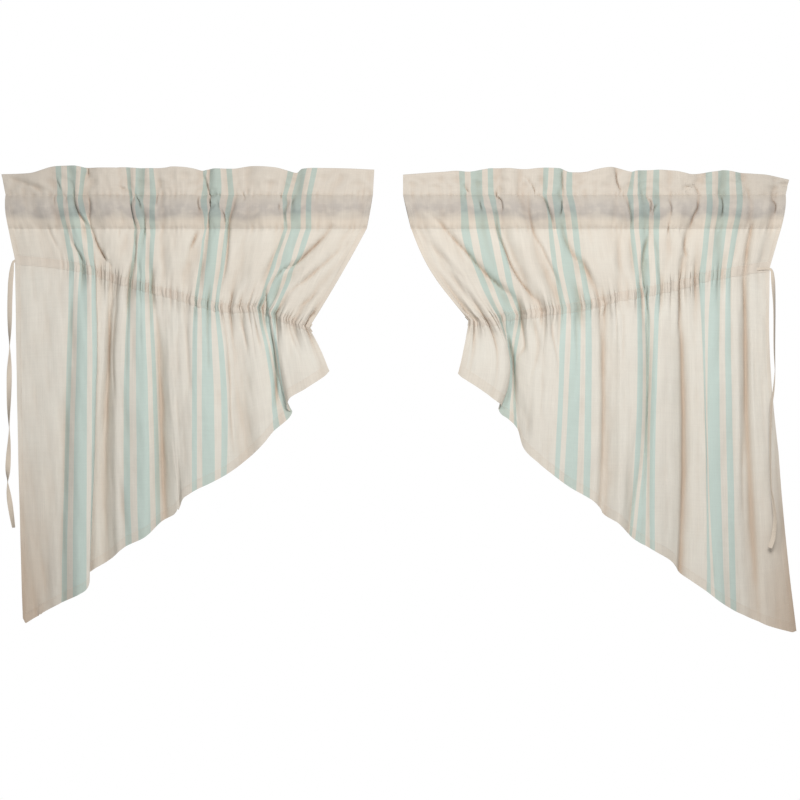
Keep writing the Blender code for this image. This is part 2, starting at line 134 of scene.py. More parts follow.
leftLines = [hangLine(*row) for row in (
    (0, 3, 11, 17, 30, 36, 44, 63, -107, -834, 2, 4),
    (60, 57, 60, 72, 83, 85, 82, 65, -111, -810, 0, -7),
    (120, 111, 115, 127, 138, 130, 123, 79, -118, -788, 0, 0),
    (156, 144, 144, 151, 167, 162, 161, 80, -124, -770, 12, 18),
    (178, 159, 155, 167, 180, 182, 180, 78, -127, -757, 10, 12),
    (193, 170, 164, 180, 189, 189, 176, 76, -129, -744, 2, -2),
    (205, 179, 173, 183, 194, 186, 169, 76, -131, -737, -6, -12),
    (232, 196, 193, 205, 209, 195, 183, 76, -136, -724, -11, -14),
    (262, 216, 215, 226, 222, 208, 207, 76, -141, -710, -19, -15),
    (284, 229, 231, 241, 234, 220, 224, 76, -145, -698, -10, -8),
    (302, 240, 243, 254, 244, 232, 236, 77, -148, -687, -2, 1),
    (320, 250, 256, 266, 254, 247, 251, 77, -151, -676, 0, 4),
    (356, 280, 276, 284, 280, 284, 290, 75, -158, -657, 8, 12),
    (393, 305, 310, 310, 302, 311, 318, 75, -164, -629, -8, -13),
    (405, 314, 318, 318, 309, 318, 325, 75, -166, -624, -14, -18),
    (425, 330, 332, 332, 324, 332, 341, 76, -169, -616, -6, -10),
    (440, 342, 342, 343, 334, 341, 353, 78, -172, -610, 0, -3),
    (467, 364, 362, 362, 352, 352, 358, 77, -177, -596, 2, 1),
    (494, 385, 382, 382, 370, 366, 364, 74, -182, -582, 4, 6),
    (518, 403, 399, 406, 384, 382, 382, 70, -187, -569, 8, 12),
    (533, 412, 411, 410, 394, 394, 394, 72, -190, -562, 10, 13),
    (556, 427, 429, 427, 411, 413, 416, 74, -195, -552, 10, 14),
    (593, 461, 465, 454, 434, 450, 451, 74, -200, -533, 3, 4),
    (640, 501, 497, 495, 462, 477, 485, 79, -202, -508, -10, -12),
    (690, 546, 538, 539, 492, 511, 523, 76, -201, -473, -2, 0),
    (720, 572, 562, 564, 509, 531, 544, 70, -201, -447, -5, -6),
    (738, 589, 576, 576, 520, 540, 562, 66, -205, -432, -11, -14),
    (756, 601, 590, 588, 532, 547, 580, 74, -209, -417, -12, -15),
    (787, 626, 615, 614, 544, 556, 570, 75, -214, -400, -5, -5),
    (817, 654, 640, 642, 558, 565, 575, 75, -220, -384, 4, 6),
    (860, 693, 684, 681, 583, 596, 608, 74, -230, -363, 8, 10),
    (914, 744, 741, 729, 614, 638, 655, 72, -242, -332, 2, 0),
)]

rightLines = [hangLine(*row) for row in (
    (0, 20, 27, 36, 58, 41, 4, 52, -122, -850, 0, 5),
    (60, 70, 71, 78, 95, 83, 62, 62, -125, -834, 4, 4),
    (78, 84, 84, 91, 105, 99, 80, 63, -127, -826, -10, -3),
    (92, 95, 94, 101, 114, 110, 95, 64, -129, -820, -3, -6),
    (106, 106, 103, 112, 126, 121, 110, 65, -130, -813, 3, -4),
    (120, 117, 113, 122, 137, 134, 125, 66, -132, -806, 4, 0),
    (156, 150, 151, 157, 165, 171, 159, 71, -137, -785, 8, 10),
    (169, 162, 163, 168, 177, 182, 168, 69, -140, -778, 6, 8),
    (193, 185, 184, 189, 198, 186, 185, 66, -145, -765, 2, 4),
    (232, 213, 212, 217, 223, 213, 217, 63, -152, -743, -8, -4),
    (255, 229, 229, 233, 237, 228, 236, 66, -156, -729, -16, -16),
    (268, 238, 237, 242, 245, 239, 243, 68, -158, -718, -6, -8),
    (282, 249, 247, 251, 254, 252, 252, 70, -160, -707, 0, -4),
    (320, 278, 278, 278, 276, 286, 288, 72, -165, -685, 7, 8),
    (340, 298, 300, 296, 292, 299, 303, 71, -168, -676, -5, 2),
    (356, 315, 314, 308, 304, 301, 317, 71, -170, -669, -8, 2),
    (376, 324, 326, 324, 314, 309, 330, 70, -172, -660, -1, -2),
    (393, 332, 341, 336, 323, 324, 337, 68, -174, -653, 6, -7),
    (440, 372, 374, 374, 356, 352, 360, 77, -180, -630, 9, 7),
    (478, 406, 407, 404, 381, 378, 388, 72, -185, -612, -7, -8),
    (494, 422, 423, 417, 393, 389, 396, 68, -188, -599, -6, -7),
    (508, 437, 438, 429, 404, 401, 407, 67, -191, -588, -1, -1),
    (520, 451, 451, 439, 414, 415, 417, 67, -195, -581, 1, 1),
    (556, 477, 481, 473, 443, 448, 457, 75, -201, -558, 6, 8),
    (593, 508, 509, 499, 472, 479, 487, 76, -205, -536, 8, 8),
    (640, 544, 544, 535, 502, 509, 515, 73, -209, -513, 6, 4),
    (690, 585, 584, 572, 533, 541, 547, 75, -213, -481, -4, -4),
    (720, 609, 608, 592, 550, 561, 560, 75, -215, -443, -14, -15),
    (745, 631, 630, 618, 566, 571, 578, 72, -217, -424, -18, -19),
    (772, 656, 654, 645, 585, 583, 597, 68, -220, -409, -15, -16),
    (797, 680, 678, 676, 600, 577, 592, 70, -225, -397, -5, -5),
    (822, 702, 700, 697, 613, 589, 603, 68, -229, -387, 6, 6),
    (868, 745, 743, 735, 634, 626, 637, 65, -229, -362, 8, 8),
    (914, 787, 787, 771, 656, 666, 678, 62, -226, -336, 2, 2),
)]

# A broad fold of the upper cloth: its centre in the flat cut at three levels, its half width, and how
# far it stands out at five levels; a valley is negative
broadFold = namedtuple(
    "broadFold",
    "top pocket casing halfWidth outTop outSeam outPocket outUpper outCasing",
)

leftFolds = [broadFold(*row) for row in (
    (30, 70, 60, 22, -6, -3, -1, -2, 0),
    (112, 108, 118, 11, -1, -5, -3, -3, -2),
    (165, 160, 160, 20, 5, 3, 3, 3, 0),
    (150, 178, 190, 10, -2, -7, -7, -2, 0),
    (202, 200, 246, 14, -10, -7, -8, -8, -3),
    (255, 255, 270, 25, 3, 2, 3, 5, 2),
    (300, 300, 305, 12, -4, -4, -5, -4, -2),
    (326, 325, 330, 10, -6, -8, -7, -5, -3),
    (356, 366, 375, 10, -6, -7, -6, -5, -3),
    (400, 415, 431, 12, -2, -6, -4, -5, -3),
    (460, 460, 440, 30, 5, 3, 4, 5, 2),
    (512, 515, 470, 13, -6, -6, -6, -8, -4),
    (538, 538, 527, 10, -7, -8, -7, -6, -4),
    (560, 560, 556, 14, 4, 3, 4, 4, 2),
    (583, 585, 580, 10, -3, -5, -6, -4, -2),
    (604, 600, 612, 10, -4, -8, -5, -3, -2),
    (628, 630, 640, 14, -5, -3, -2, -3, -3),
    (680, 668, 690, 28, 7, 3, 4, 5, 2),
    (738, 714, 700, 14, -11, -8, -3, -3, -2),
    (760, 735, 728, 10, -2, -6, -5, -3, -2),
    (780, 785, 775, 18, 5, 3, 2, 4, 3),
    (834, 834, 743, 18, 0, 0, -3, -10, -8),
    (860, 852, 815, 20, 2, 2, 2, 6, 3),
    (880, 882, 800, 16, 0, 0, -2, -7, -6),
    (900, 906, 856, 13, 0, 0, 0, -5, -5),
)]

rightFolds = [broadFold(*row) for row in (
    (28, 30, 30, 11, 0, -6, -3, 0, 0),
    (60, 60, 55, 24, 4, 2, 3, 3, 1),
    (112, 86, 78, 11, -6, -5, -5, -6, -5),
    (158, 158, 150, 10, -3, -8, -6, -4, -3),
    (180, 186, 192, 14, 5, 3, 4, 4, 2),
    (205, 233, 252, 13, -10, -7, -7, -6, -4),
    (262, 264, 266, 20, 5, 3, 4, 4, 1),
    (297, 296, 282, 12, -4, -6, -6, -4, -3),
    (325, 324, 330, 10, -2, -7, -3, 0, 0),
    (350, 346, 358, 11, -6, -8, -7, -8, -5),
    (393, 398, 396, 11, -3, -8, -7, -5, -3),
    (425, 425, 428, 16, -7, -3, -4, -5, -3),
    (456, 460, 462, 28, 6, 3, 4, 5, 2),
    (508, 510, 505, 14, -7, -2, 0, 0, 0),
    (540, 553, 497, 13, -5, -7, -6, -9, -7),
    (600, 585, 585, 11, -3, -8, -6, -3, -2),
    (655, 636, 592, 14, -5, -7, -7, -8, -4),
    (680, 680, 625, 24, 5, 3, 5, 6, 3),
    (704, 722, 655, 15, -7, -8, -8, -10, -7),
    (752, 752, 745, 10, -2, -6, -4, -2, -2),
    (790, 775, 768, 14, -6, -3, -1, 0, 0),
    (832, 832, 726, 18, 0, -1, -6, -10, -8),
    (860, 862, 800, 22, 3, 2, 3, 6, 3),
    (885, 888, 838, 16, 0, 0, -3, -6, -5),
    (902, 908, 880, 12, 0, 0, 0, -4, -5),
)]

# A crease is a soft trough laid on the hung cloth: depth, half width and the ridge beside it (on the
# inner side, or the outer side where negative), then its path as pairs of inward place and height
crease = namedtuple("crease", "depth halfWidth ridge path")


def creaseRow(row):
    return crease(*row[:3], tuple(zip(row[3::2], row[4::2])))


leftCreases = [creaseRow(row) for row in (
    (2.5, 3, -1, 113, 24, 109, 14, 112, 0),
    (2.5, 3, 1, 125, 24, 133, 16, 132, 4),
    (3.6, 4.5, 2, 147, 25, 152, 0, 158, -15, 167, -30, 177, -43),
    (2.1, 4.5, 1, 174, 23, 181, 0, 181, -13, 179, -26, 179, -40),
    (4.0, 3, 0, 175, 76, 175, 62),
    (3.0, 7, 1, 8, 57, 30, 51, 64, 39, 92, 27),
    (2.5, 3, 1, 112, 56, 117, 44, 122, 30),
    (2.5, 4, 1, 236, 40, 254, 30),
    (5.5, 3, 1, 268, 24, 278, 8, 281, -4),
    (3.0, 3, -1, 267, 22, 265, 8),
    (6.0, 3, -1, 260, 8, 265, -18, 269, -41),
    (5.0, 4, 1, 290, -20, 288, -41, 287, -60),
    (2.5, 3, -1, 313, 22, 312, 0),
    (4.2, 4.5, 1, 183, -44, 193, -76, 219, -119),
    (2.0, 4, 0, 238, -42, 236, -62),
    (3.5, 4, 1, 267, -51, 269, -81, 266, -127),
    (2.1, 6.5, 1, 286, -41, 281, -81, 276, -121, 278, -151),
    (1.5, 5.5, 0, 302, -120, 302, -163, 300, -183),
    (1.5, 5, 0, 96, -36, 101, -56, 111, -76, 115, -91),
    (3.4, 4, 1, 144, -72, 157, -96, 167, -114),
    (1.5, 5.5, 1, 162, -72, 177, -117, 183, -135),
    (5.0, 3, -1, 395, 18, 394, 5, 399, -13),
    (3.0, 4, 1, 403, 68, 408, 51, 415, 28),
    (4.0, 3, 1, 415, 30, 418, 23, 423, 19, 431, 25),
    (5.0, 3, 1, 412, 20, 417, 8, 417, -8, 415, -30),
    (6.0, 4, -1, 432, 8, 419, -15, 415, -41),
    (4.0, 3, 0, 438, 25, 438, 18),
    (3.5, 3, 1, 432, 15, 438, -5, 445, -20, 446, -41),
    (3.6, 5.5, 1, 470, 20, 466, 0, 460, -18, 455, -41, 451, -101, 438, -177),
    (3.0, 3, 1, 481, 28, 488, 15, 485, 8),
    (6.0, 3, 0, 558, 21, 558, 17),
    (3.0, 3, 0, 555, 5, 554, -10),
    (2.7, 4.5, 1, 565, 18, 573, 5, 566, -18, 568, -41),
    (2.5, 3, -1, 585, 15, 582, 0),
    (2.4, 6.5, 1, 568, -43, 555, -76, 540, -107, 527, -142, 519, -175, 512, -188),
    (5.5, 5.5, 1, 659, -41, 644, -61, 613, -91, 588, -114, 562, -127, 540, -152, 527, -167),
    (3.4, 6, 1, 689, -74, 651, -109, 613, -142, 580, -167, 555, -190),
    (2.5, 5, 0, 633, -170, 613, -188, 595, -198),
    (3.5, 4, 0, 631, -213, 616, -217, 609, -222),
    (3.5, 5, 1, 378, -85, 393, -51),
    (5.0, 4, 1, 530, -167, 530, -198, 533, -223),
    (3.0, 4, 1, 481, -175, 476, -195, 471, -205),
    (2.5, 4, 0, 461, -172, 459, -198),
    (4.0, 3, 0, 390, -185, 390, -203),
    (3.5, 3, 1, 64, -799, 72, -806, 86, -808),
    (1.6, 14, -1, 230, -167, 219, -211, 215, -266, 213, -330, 208, -389, 200, -449, 191, -525, 185,
     -594, 181, -674),
    (4.5, 7, -2, 222, -190, 215, -212, 214, -262, 213, -310, 211, -360),
    (1.8, 5, 0, 234, -187, 229, -246, 227, -326, 230, -405),
    (1.4, 10, 0, 336, -185, 335, -223, 331, -262, 325, -310, 322, -370, 323, -445, 326, -574),
    (1.6, 9, 0, 310, -227, 312, -346, 314, -465, 314, -584),
    (3, 5, -1, 441, -211, 447, -236, 453, -286, 457, -356, 459, -425, 463, -485),
    (5.5, 6.5, 2, 529, -217, 536, -246, 544, -286, 548, -336, 548, -385, 542, -409),
    (1.6, 5, 0, 477, -215, 483, -246, 493, -286),
    (1.6, 5, 0, 505, -219, 509, -246, 517, -282),
    (1.6, 4, 0, 570, -227, 578, -252, 590, -290),
    (1.3, 4, 0, 582, -230, 590, -256, 600, -290),
    (2.5, 11.5, 0, 129, -346, 127, -485, 123, -624, 119, -763),
    (1.3, 6.5, 0, 149, -127, 143, -187, 139, -266),
    (1.3, 6.5, 0, 268, -177, 266, -246, 264, -346),
    (1.3, 6.5, 0, 368, -207, 372, -266, 378, -385),
    (1.3, 5, 0, 411, -211, 413, -266, 415, -346),
    (1.6, 10.5, 0, 238, -525, 242, -584, 246, -644),
    (1.3, 11.5, 0, 66, -624, 79, -703, 93, -763),
)]

rightCreases = [creaseRow(row) for row in (
    (3.0, 3, 1, 665, 39, 654, 24),
    (5.5, 3, -1, 601, 32, 601, 21, 591, 10, 589, -3, 591, -13),
    (4.6, 5, -1, 603, -16, 601, -34, 597, -54, 587, -80, 572, -119, 553, -151, 531, -177, 509,
     -197),
    (3.5, 3, -1, 636, 10, 631, -10),
    (4.8, 6, -1, 738, -15, 712, -36, 691, -60, 657, -96, 634, -122, 616, -140, 595, -158, 574,
     -174, 551, -200),
    (2.1, 6.5, -1, 730, -80, 704, -104, 673, -138, 642, -166),
    (2.4, 4.5, -1, 538, 13, 538, -3, 535, -23, 527, -54, 509, -85, 494, -119, 481, -145, 473, -174),
    (3.5, 3, 1, 531, 13, 525, 21, 527, 34, 543, 58),
    (3.6, 4.5, -1, 520, 21, 509, 16, 502, 3, 496, -13, 487, -44),
    (6.0, 3, -1, 472, 13, 472, -3, 474, -18),
    (3, 6.5, -1, 473, -39, 465, -65, 447, -99, 429, -114, 413, -145, 403, -174),
    (3.0, 4, -1, 472, 76, 469, 24),
    (4.0, 4, 1, 673, -214, 658, -220),
    (4.0, 4, 1, 365, 76, 362, 50, 351, 24),
    (3, 4.5, 1, 342, 16, 337, -13, 333, -34, 334, -49),
    (5.5, 3, -1, 304, 16, 295, 8, 298, -10, 292, -18),
    (4.0, 3, 1, 283, 3, 289, -8, 291, -16),
    (3.5, 3, -1, 260, 13, 255, -3, 256, -21),
    (3.5, 3, 1, 260, -34, 260, -54),
    (3.3, 4.5, 1, 201, 18, 203, -3, 213, -26, 217, -47),
    (3.0, 5, 1, 225, -56, 228, -80, 221, -105),
    (2.5, 4, 1, 234, 39, 213, 40, 200, 29, 197, 23),
    (6.0, 3, -1, 155, 23, 153, 3, 155, -21),
    (3.5, 3, -1, 58, 13, 48, 0, 51, -18),
    (2.4, 6.5, 1, 86, -23, 96, -54, 103, -85, 107, -119),
    (3.6, 5.5, 1, 296, -52, 307, -85, 311, -119, 308, -158),
    (2.1, 5.5, -1, 291, -54, 281, -96, 279, -132, 277, -158),
    (1.5, 7.5, 1, 359, -44, 357, -107, 346, -145),
    (1.2, 6.5, 0, 335, -54, 331, -119, 322, -153),
    (5.0, 3, 1, 304, -169, 303, -184, 301, -211),
    (4.0, 4, 1, 380, -184, 386, -216),
    (4.0, 4, 1, 239, -158, 239, -256),
    (2.1, 5.5, 1, 109, -132, 110, -158, 107, -223),
    (5.5, 6.5, 1, 588, -223, 580, -252, 572, -282, 566, -322, 564, -366, 564, -409),
    (3.5, 5, -1, 558, -183, 552, -223, 546, -256, 544, -278, 556, -302),
    (2.5, 6.5, -1, 533, -211, 523, -242, 519, -276, 523, -310, 533, -346),
    (3, 4.5, 0, 493, -211, 491, -250, 485, -286, 479, -318),
    (3.6, 9.5, -2, 382, -187, 386, -223, 388, -276, 388, -385, 388, -485, 391, -574),
    (2.2, 10, -1, 241, -167, 239, -237, 232, -300, 229, -385, 227, -525, 232, -600, 240, -654),
    (2.6, 9, -1, 112, -137, 107, -187, 107, -346, 109, -450, 114, -540, 112, -703),
    (2.5, 4.5, 0, 308, -147, 300, -187, 298, -250),
    (1.3, 6.5, 0, 93, -227, 87, -306, 83, -385),
    (1.6, 5, 0, 445, -197, 443, -246, 441, -326),
    (1.3, 6.5, 0, 346, -187, 348, -246, 350, -326),
    (1.3, 6.5, 0, 286, -187, 282, -246, 282, -346),
    (1.3, 6.5, 0, 197, -167, 191, -227, 189, -326),
    (1.3, 6.5, 0, 157, -157, 159, -227, 161, -326),
    (2.5, 13, 0, 546, -385, 542, -435, 546, -475),
    (1.8, 6.5, 0, 322, -544, 330, -594, 336, -634),
    (1.6, 6.5, 0, 167, -703, 173, -753),
)]

# Rounded hem corners: place in the flat cut, reach along the hem, lift
leftLifts = ((0, 5, 14), (181, 10, 13), (440, 7, 8), (757, 9, 8), (914, 6, 4))
rightLifts = ((0, 5, 5), (772, 9, 6), (914, 5, 3))

swagPanel = namedtuple(
    "swagPanel",
    "name side lines folds creases lifts innerBow outerBow gatherPhase seed",
)
panels = (
    swagPanel("left", -1, leftLines, leftFolds, leftCreases, leftLifts, 3.0, 0.0, 0.6, 11),
    swagPanel("right", 1, rightLines, rightFolds, rightCreases, rightLifts, 15.0, 5.5, 2.1, 23),
)

# Fine forms that the shared solids leave out, in millimetres; a pucker is pitch, height, reach up and down
fine = {
    "puckers": ((12.5, 3.0, 13.0, 12.0), (21.0, 3.9, 22.0, 30.0), (43.0, 4.4, 34.0, 85.0)),
    "puckerMean": 0.62,
    "puckerDraw": 0.035,
    "puckerFade": 1.3,
    "puckerStart": 0.12,
    "puckerWander": 0.35,
    "puckerLie": 0.15,
    "puckerRuns": (5, 3.3, 2.1),  # pitches that the wander, height and reach take to change
    "puckerUneven": (0.75, 0.45, 0.15, 1.5),  # mean, swing, least, most
    "puckerStretch": (0.35, 0.35, 2),  # swing, least, most
    "hangDepth": 1.15,
    "cornerTurn": 14.0,
    "cornerReach": 110.0,
    "cornerCurve": (1.5, 2.5),
    "liftCurve": 12,
    "edgeCalm": 12,
    "seamPitch": 19.0,
    "seamWander": (0.4, 80.0),  # share of a pitch, run
    "seamHeight": 0.8,
    "seamReach": 9.0,
    "seamDent": (0.3, 2.4),  # depth, reach
    "seamRidge": (0.25, 3.5, 1.8),  # height, place above the seam, reach
    "stitchPull": (0.5, 2.0),  # depth, reach
    "casingWander": (1.0, 26, 15.0),  # height, reach, pitch
    "rumples": ((62.0, 0.9), (24.0, 0.35)),  # pitch, height
    "rumpleStart": (0.35, 60),  # share at the top edge, drop where it is full
    "rumpleLie": 0.45,
    "crumples": (46.0, 1.8),
    "crumpleLie": 1.3,
    "thickness": 0.8,
    "normalStep": 3.0,
    "calmColumns": 22,
    "columns": 392,
}


# Columns of the cloth's mesh across the flat cut, wider apart in the calm strip by the outer edge
def flatColumns():
    calm = np.linspace(0, hang["gatherStart"], fine["calmColumns"], endpoint=False)
    return np.concatenate((calm, np.linspace(hang["gatherStart"], cut["width"], fine["columns"] + 1)))


def smoothCurve(nodes, values, places):
    nodes = np.asarray(nodes, dtype=float)
    values = np.asarray(values, dtype=float)
    steps = np.diff(nodes)
    slopes = np.diff(values) / steps
    tangents = np.zeros(len(nodes))
    tangents[0], tangents[-1] = slopes[0], slopes[-1]
    for k in range(1, len(nodes) - 1):
        if slopes[k - 1] * slopes[k] > 0:
            tangents[k] = 2 * slopes[k - 1] * slopes[k] / (slopes[k - 1] + slopes[k])
    places = np.clip(places, nodes[0], nodes[-1])
    piece = np.clip(np.searchsorted(nodes, places, side="right") - 1, 0, len(nodes) - 2)
    width = steps[piece]
    share = (places - nodes[piece]) / width
    rise = values[piece + 1] - values[piece]
    swing = share * (1 - share)
    bent = width * swing * ((1 - share) * tangents[piece] - share * tangents[piece + 1])
    return values[piece] + rise * share * share * (3 - 2 * share) + bent


def lineColumn(panel, column, flat):
    places = [line.flat for line in panel.lines]
    return smoothCurve(places, [getattr(line, column) for line in panel.lines], flat)


def casingDrop(flat):
    return cut["casingOuter"] + (cut["casingInner"] - cut["casingOuter"]) * flat / cut["width"]


def hemDrop(flat):
    return cut["outerLength"] + (cut["innerLength"] - cut["outerLength"]) * flat / cut["width"]


def between(nodes, values, place):
    result = values[0] + 0.0 * place
    for low, high, first, last in zip(nodes, nodes[1:], values, values[1:]):
        result = result + (last - first) * np.clip((place - low) / (high - low), 0, 1)
    return result


def easyMiddle(first, middle, last, share):
    return first + (4 * middle - 3 * first - last) * share + 2 * (first + last - 2 * middle) * share ** 2


def hump(distance, reach):
    return np.exp(-(distance / reach) ** 2)


def foldOut(panel, flat, drop):
    casing = casingDrop(flat)
    upper = 0.5 * (footDrop + casing)
    total = 0.0 * flat
    for fold in panel.folds:
        centre = between((0.0, footDrop, casing), (fold.top, fold.pocket, fold.casing), drop)
        heights = (fold.outTop, fold.outSeam, fold.outPocket, fold.outUpper, fold.outCasing)
        height = between((0.0, cut["header"], footDrop, upper, casing), heights, drop)
        total = total + height * np.exp(-hang["foldSharp"] * ((flat - centre) / fold.halfWidth) ** 2)
    pinch = hang["pinchLimit"] * np.tanh(total / hang["pinchLimit"])
    total = np.where((total < 0) & (drop < upper), pinch, total)
    return total * np.exp(-np.clip(drop - casing, 0, None) / hang["gatherReach"])


def gatherStart(flat):
    return np.clip((flat - hang["gatherStart"]) / (hang["gatherFull"] - hang["gatherStart"]), 0, 1)


def gatherOut(panel, flat, drop):
    phase = 2 * math.pi * flat / hang["gatherPitch"] + panel.gatherPhase
    share, faster = hang["secondGather"]
    waves = np.sin(phase) + share * np.sin(faster * phase + 1)
    fade = hump(drop - casingDrop(flat), hang["gatherReach"])
    return hang["gatherHeight"] * gatherStart(flat) * fade * waves


def hangOut(panel, flat, drop):
    casing = casingDrop(flat)
    share = np.clip((drop - casing) / (hemDrop(flat) - casing), 0, 1)
    middle = lineColumn(panel, "middleOut", flat)
    opened = easyMiddle(hang["casingOut"] * middle, middle, lineColumn(panel, "hemOut", flat), share)
    return fine["hangDepth"] * opened * np.exp(-np.clip(casing - drop, 0, None) / hang["gatherReach"])


def blouseOut(flat, drop):
    share = np.clip((drop - footDrop) / (casingDrop(flat) - footDrop), 0, 1)
    return hang["blouse"] * np.sin(math.pi * share) * flat / cut["width"]


# Soft noise: waves at even turns, their pitch and start drawn from the seed
softWaves = {"count": 8, "shortest": 0.7, "longest": 1.5, "height": 0.5}


def softNoise(across, down, pitch, seed):
    chooser = np.random.default_rng(seed)
    total = 0.0 * across
    for k in range(softWaves["count"]):
        turn = math.pi * (k + chooser.uniform()) / softWaves["count"]
        scale = 2 * math.pi / (pitch * chooser.uniform(softWaves["shortest"], softWaves["longest"]))
        along = across * math.cos(turn) + down * math.sin(turn)
        total = total + np.sin(scale * along + chooser.uniform(0, 6.28))
    return softWaves["height"] * total


# A crease sinks the cloth, lifts it beside the trough, and draws it in from both sides; lengths are in
# half widths of the crease apart from the step along its path and sharpWidth, in millimetres
creaseForm = {
    "depth": 1.45,
    "width": 0.8,
    "step": 3,
    "fewestSteps": 8,
    "reach": 5,
    "sharpWidth": 4,
    "sharpCurve": 1.4,
    "endShare": 0.25,
    "ridgePlace": 2,
    "ridgeReach": 1.1,
    "draw": 0.9,
    "drawReach": 2.4,
    "drawLimit": 0.65,
}


def creaseShape(panel, inward, up):
    form = creaseForm
    end, drawReach = form["endShare"], form["drawReach"]
    total, drawn = 0.0 * inward, 0.0 * inward
    for mark in panel.creases:
        path = np.array(mark.path, dtype=float)
        run = np.concatenate(([0.0], np.cumsum(np.linalg.norm(np.diff(path, axis=0), axis=1))))
        steps = np.linspace(0, run[-1], max(form["fewestSteps"], int(run[-1] / form["step"])))
        pathIn = smoothCurve(run, path[:, 0], steps)
        pathUp = smoothCurve(run, path[:, 1], steps)
        reach = form["reach"] * mark.halfWidth
        near = (inward > pathIn.min() - reach) & (inward < pathIn.max() + reach)
        near &= (up > pathUp.min() - reach) & (up < pathUp.max() + reach)
        if not near.any():
            continue
        aside = inward[near][:, None] - pathIn
        gap = np.hypot(aside, up[near][:, None] - pathUp)
        nearest = gap.argmin(axis=1)
        picked = np.arange(len(nearest))
        width = mark.halfWidth * form["width"]
        distance = gap[picked, nearest] / width
        side = np.sign(aside[picked, nearest]) * distance
        share = nearest / (len(steps) - 1)
        taper = np.clip(share / end, end, 1) * np.clip((1 - share) / end, end, 1)
        curve = form["sharpCurve"] if mark.halfWidth <= form["sharpWidth"] else 2
        trough = -form["depth"] * mark.depth * np.exp(-distance ** curve)
        ridge = abs(mark.ridge) * hump(side - form["ridgePlace"] * np.sign(mark.ridge), form["ridgeReach"])
        total[near] += taper * (trough + ridge)
        draw = min(form["draw"] * mark.depth, form["drawLimit"] * drawReach * width)
        drawn[near] -= taper * draw * side / drawReach * np.exp(-0.5 * (side / drawReach) ** 2)
    return total, drawn


def puckerShape(panel, flat, drop):
    below = drop - casingDrop(flat)
    wanderRun, heightRun, reachRun = fine["puckerRuns"]
    mean, swing, least, most = fine["puckerUneven"]
    stretchSwing, shortest, longest = fine["puckerStretch"]
    total, drawn = 0.0 * flat, 0.0 * flat
    for k, (pitch, height, reachUp, reachDown) in enumerate(fine["puckers"]):
        wander = softNoise(flat, 0.0 * flat, wanderRun * pitch, panel.seed + k)
        phase = flat / pitch + fine["puckerWander"] * wander
        uneven = softNoise(flat, fine["puckerLie"] * drop, heightRun * pitch, panel.seed + 7 + k)
        uneven = np.clip(mean + swing * uneven, least, most)
        stretch = 1 + stretchSwing * softNoise(flat, 0.0 * flat, reachRun * pitch, panel.seed + 17 + k)
        reach = np.where(below < 0, reachUp, reachDown) * np.clip(stretch, shortest, longest)
        fade = np.exp(-(np.abs(below) / reach) ** fine["puckerFade"])
        total = total + height * uneven * fade * (np.abs(np.sin(math.pi * phase)) - fine["puckerMean"])
        drawn = drawn - fine["puckerDraw"] * pitch * uneven * fade * np.sin(2 * math.pi * phase)
    started = fine["puckerStart"] + (1 - fine["puckerStart"]) * gatherStart(flat)
    return total * started, drawn * started


def seamOut(panel, flat, drop):
    swing, run = fine["seamWander"]
    dent, dentReach = fine["seamDent"]
    ridge, ridgeUp, ridgeReach = fine["seamRidge"]
    pull, pullReach = fine["stitchPull"]
    total = 0.0 * flat
    phase = flat / fine["seamPitch"] + swing * softNoise(flat, 0.0 * flat, run, panel.seed + 31)
    for seam in (cut["header"], footDrop):
        fade = hump(drop - seam, fine["seamReach"])
        total = total + fine["seamHeight"] * fade * np.sin(2 * math.pi * phase)
        total = total - dent * hump(drop - seam, dentReach)
    total = total + ridge * hump(drop - cut["header"] + ridgeUp, ridgeReach)
    edgeGap = np.abs(np.abs(drop - casingDrop(flat)) - 0.5 * cut["casingWidth"])
    return total - pull * hump(edgeGap, pullReach)


def rumpleOut(panel, flat, drop):
    least, full = fine["rumpleStart"]
    calm = least + (1 - least) * np.clip(drop / full, 0, 1)
    total = 0.0 * flat
    for k, (pitch, height) in enumerate(fine["rumples"]):
        total = total + height * softNoise(flat, fine["rumpleLie"] * drop, pitch, panel.seed + 41 + k)
    pitch, height = fine["crumples"]
    crumpled = height * np.abs(softNoise(flat, fine["crumpleLie"] * drop, pitch, panel.seed + 53))
    inHeader = np.sin(math.pi * np.clip(drop / cut["header"], 0, 1))
    return calm * total - inHeader * crumpled


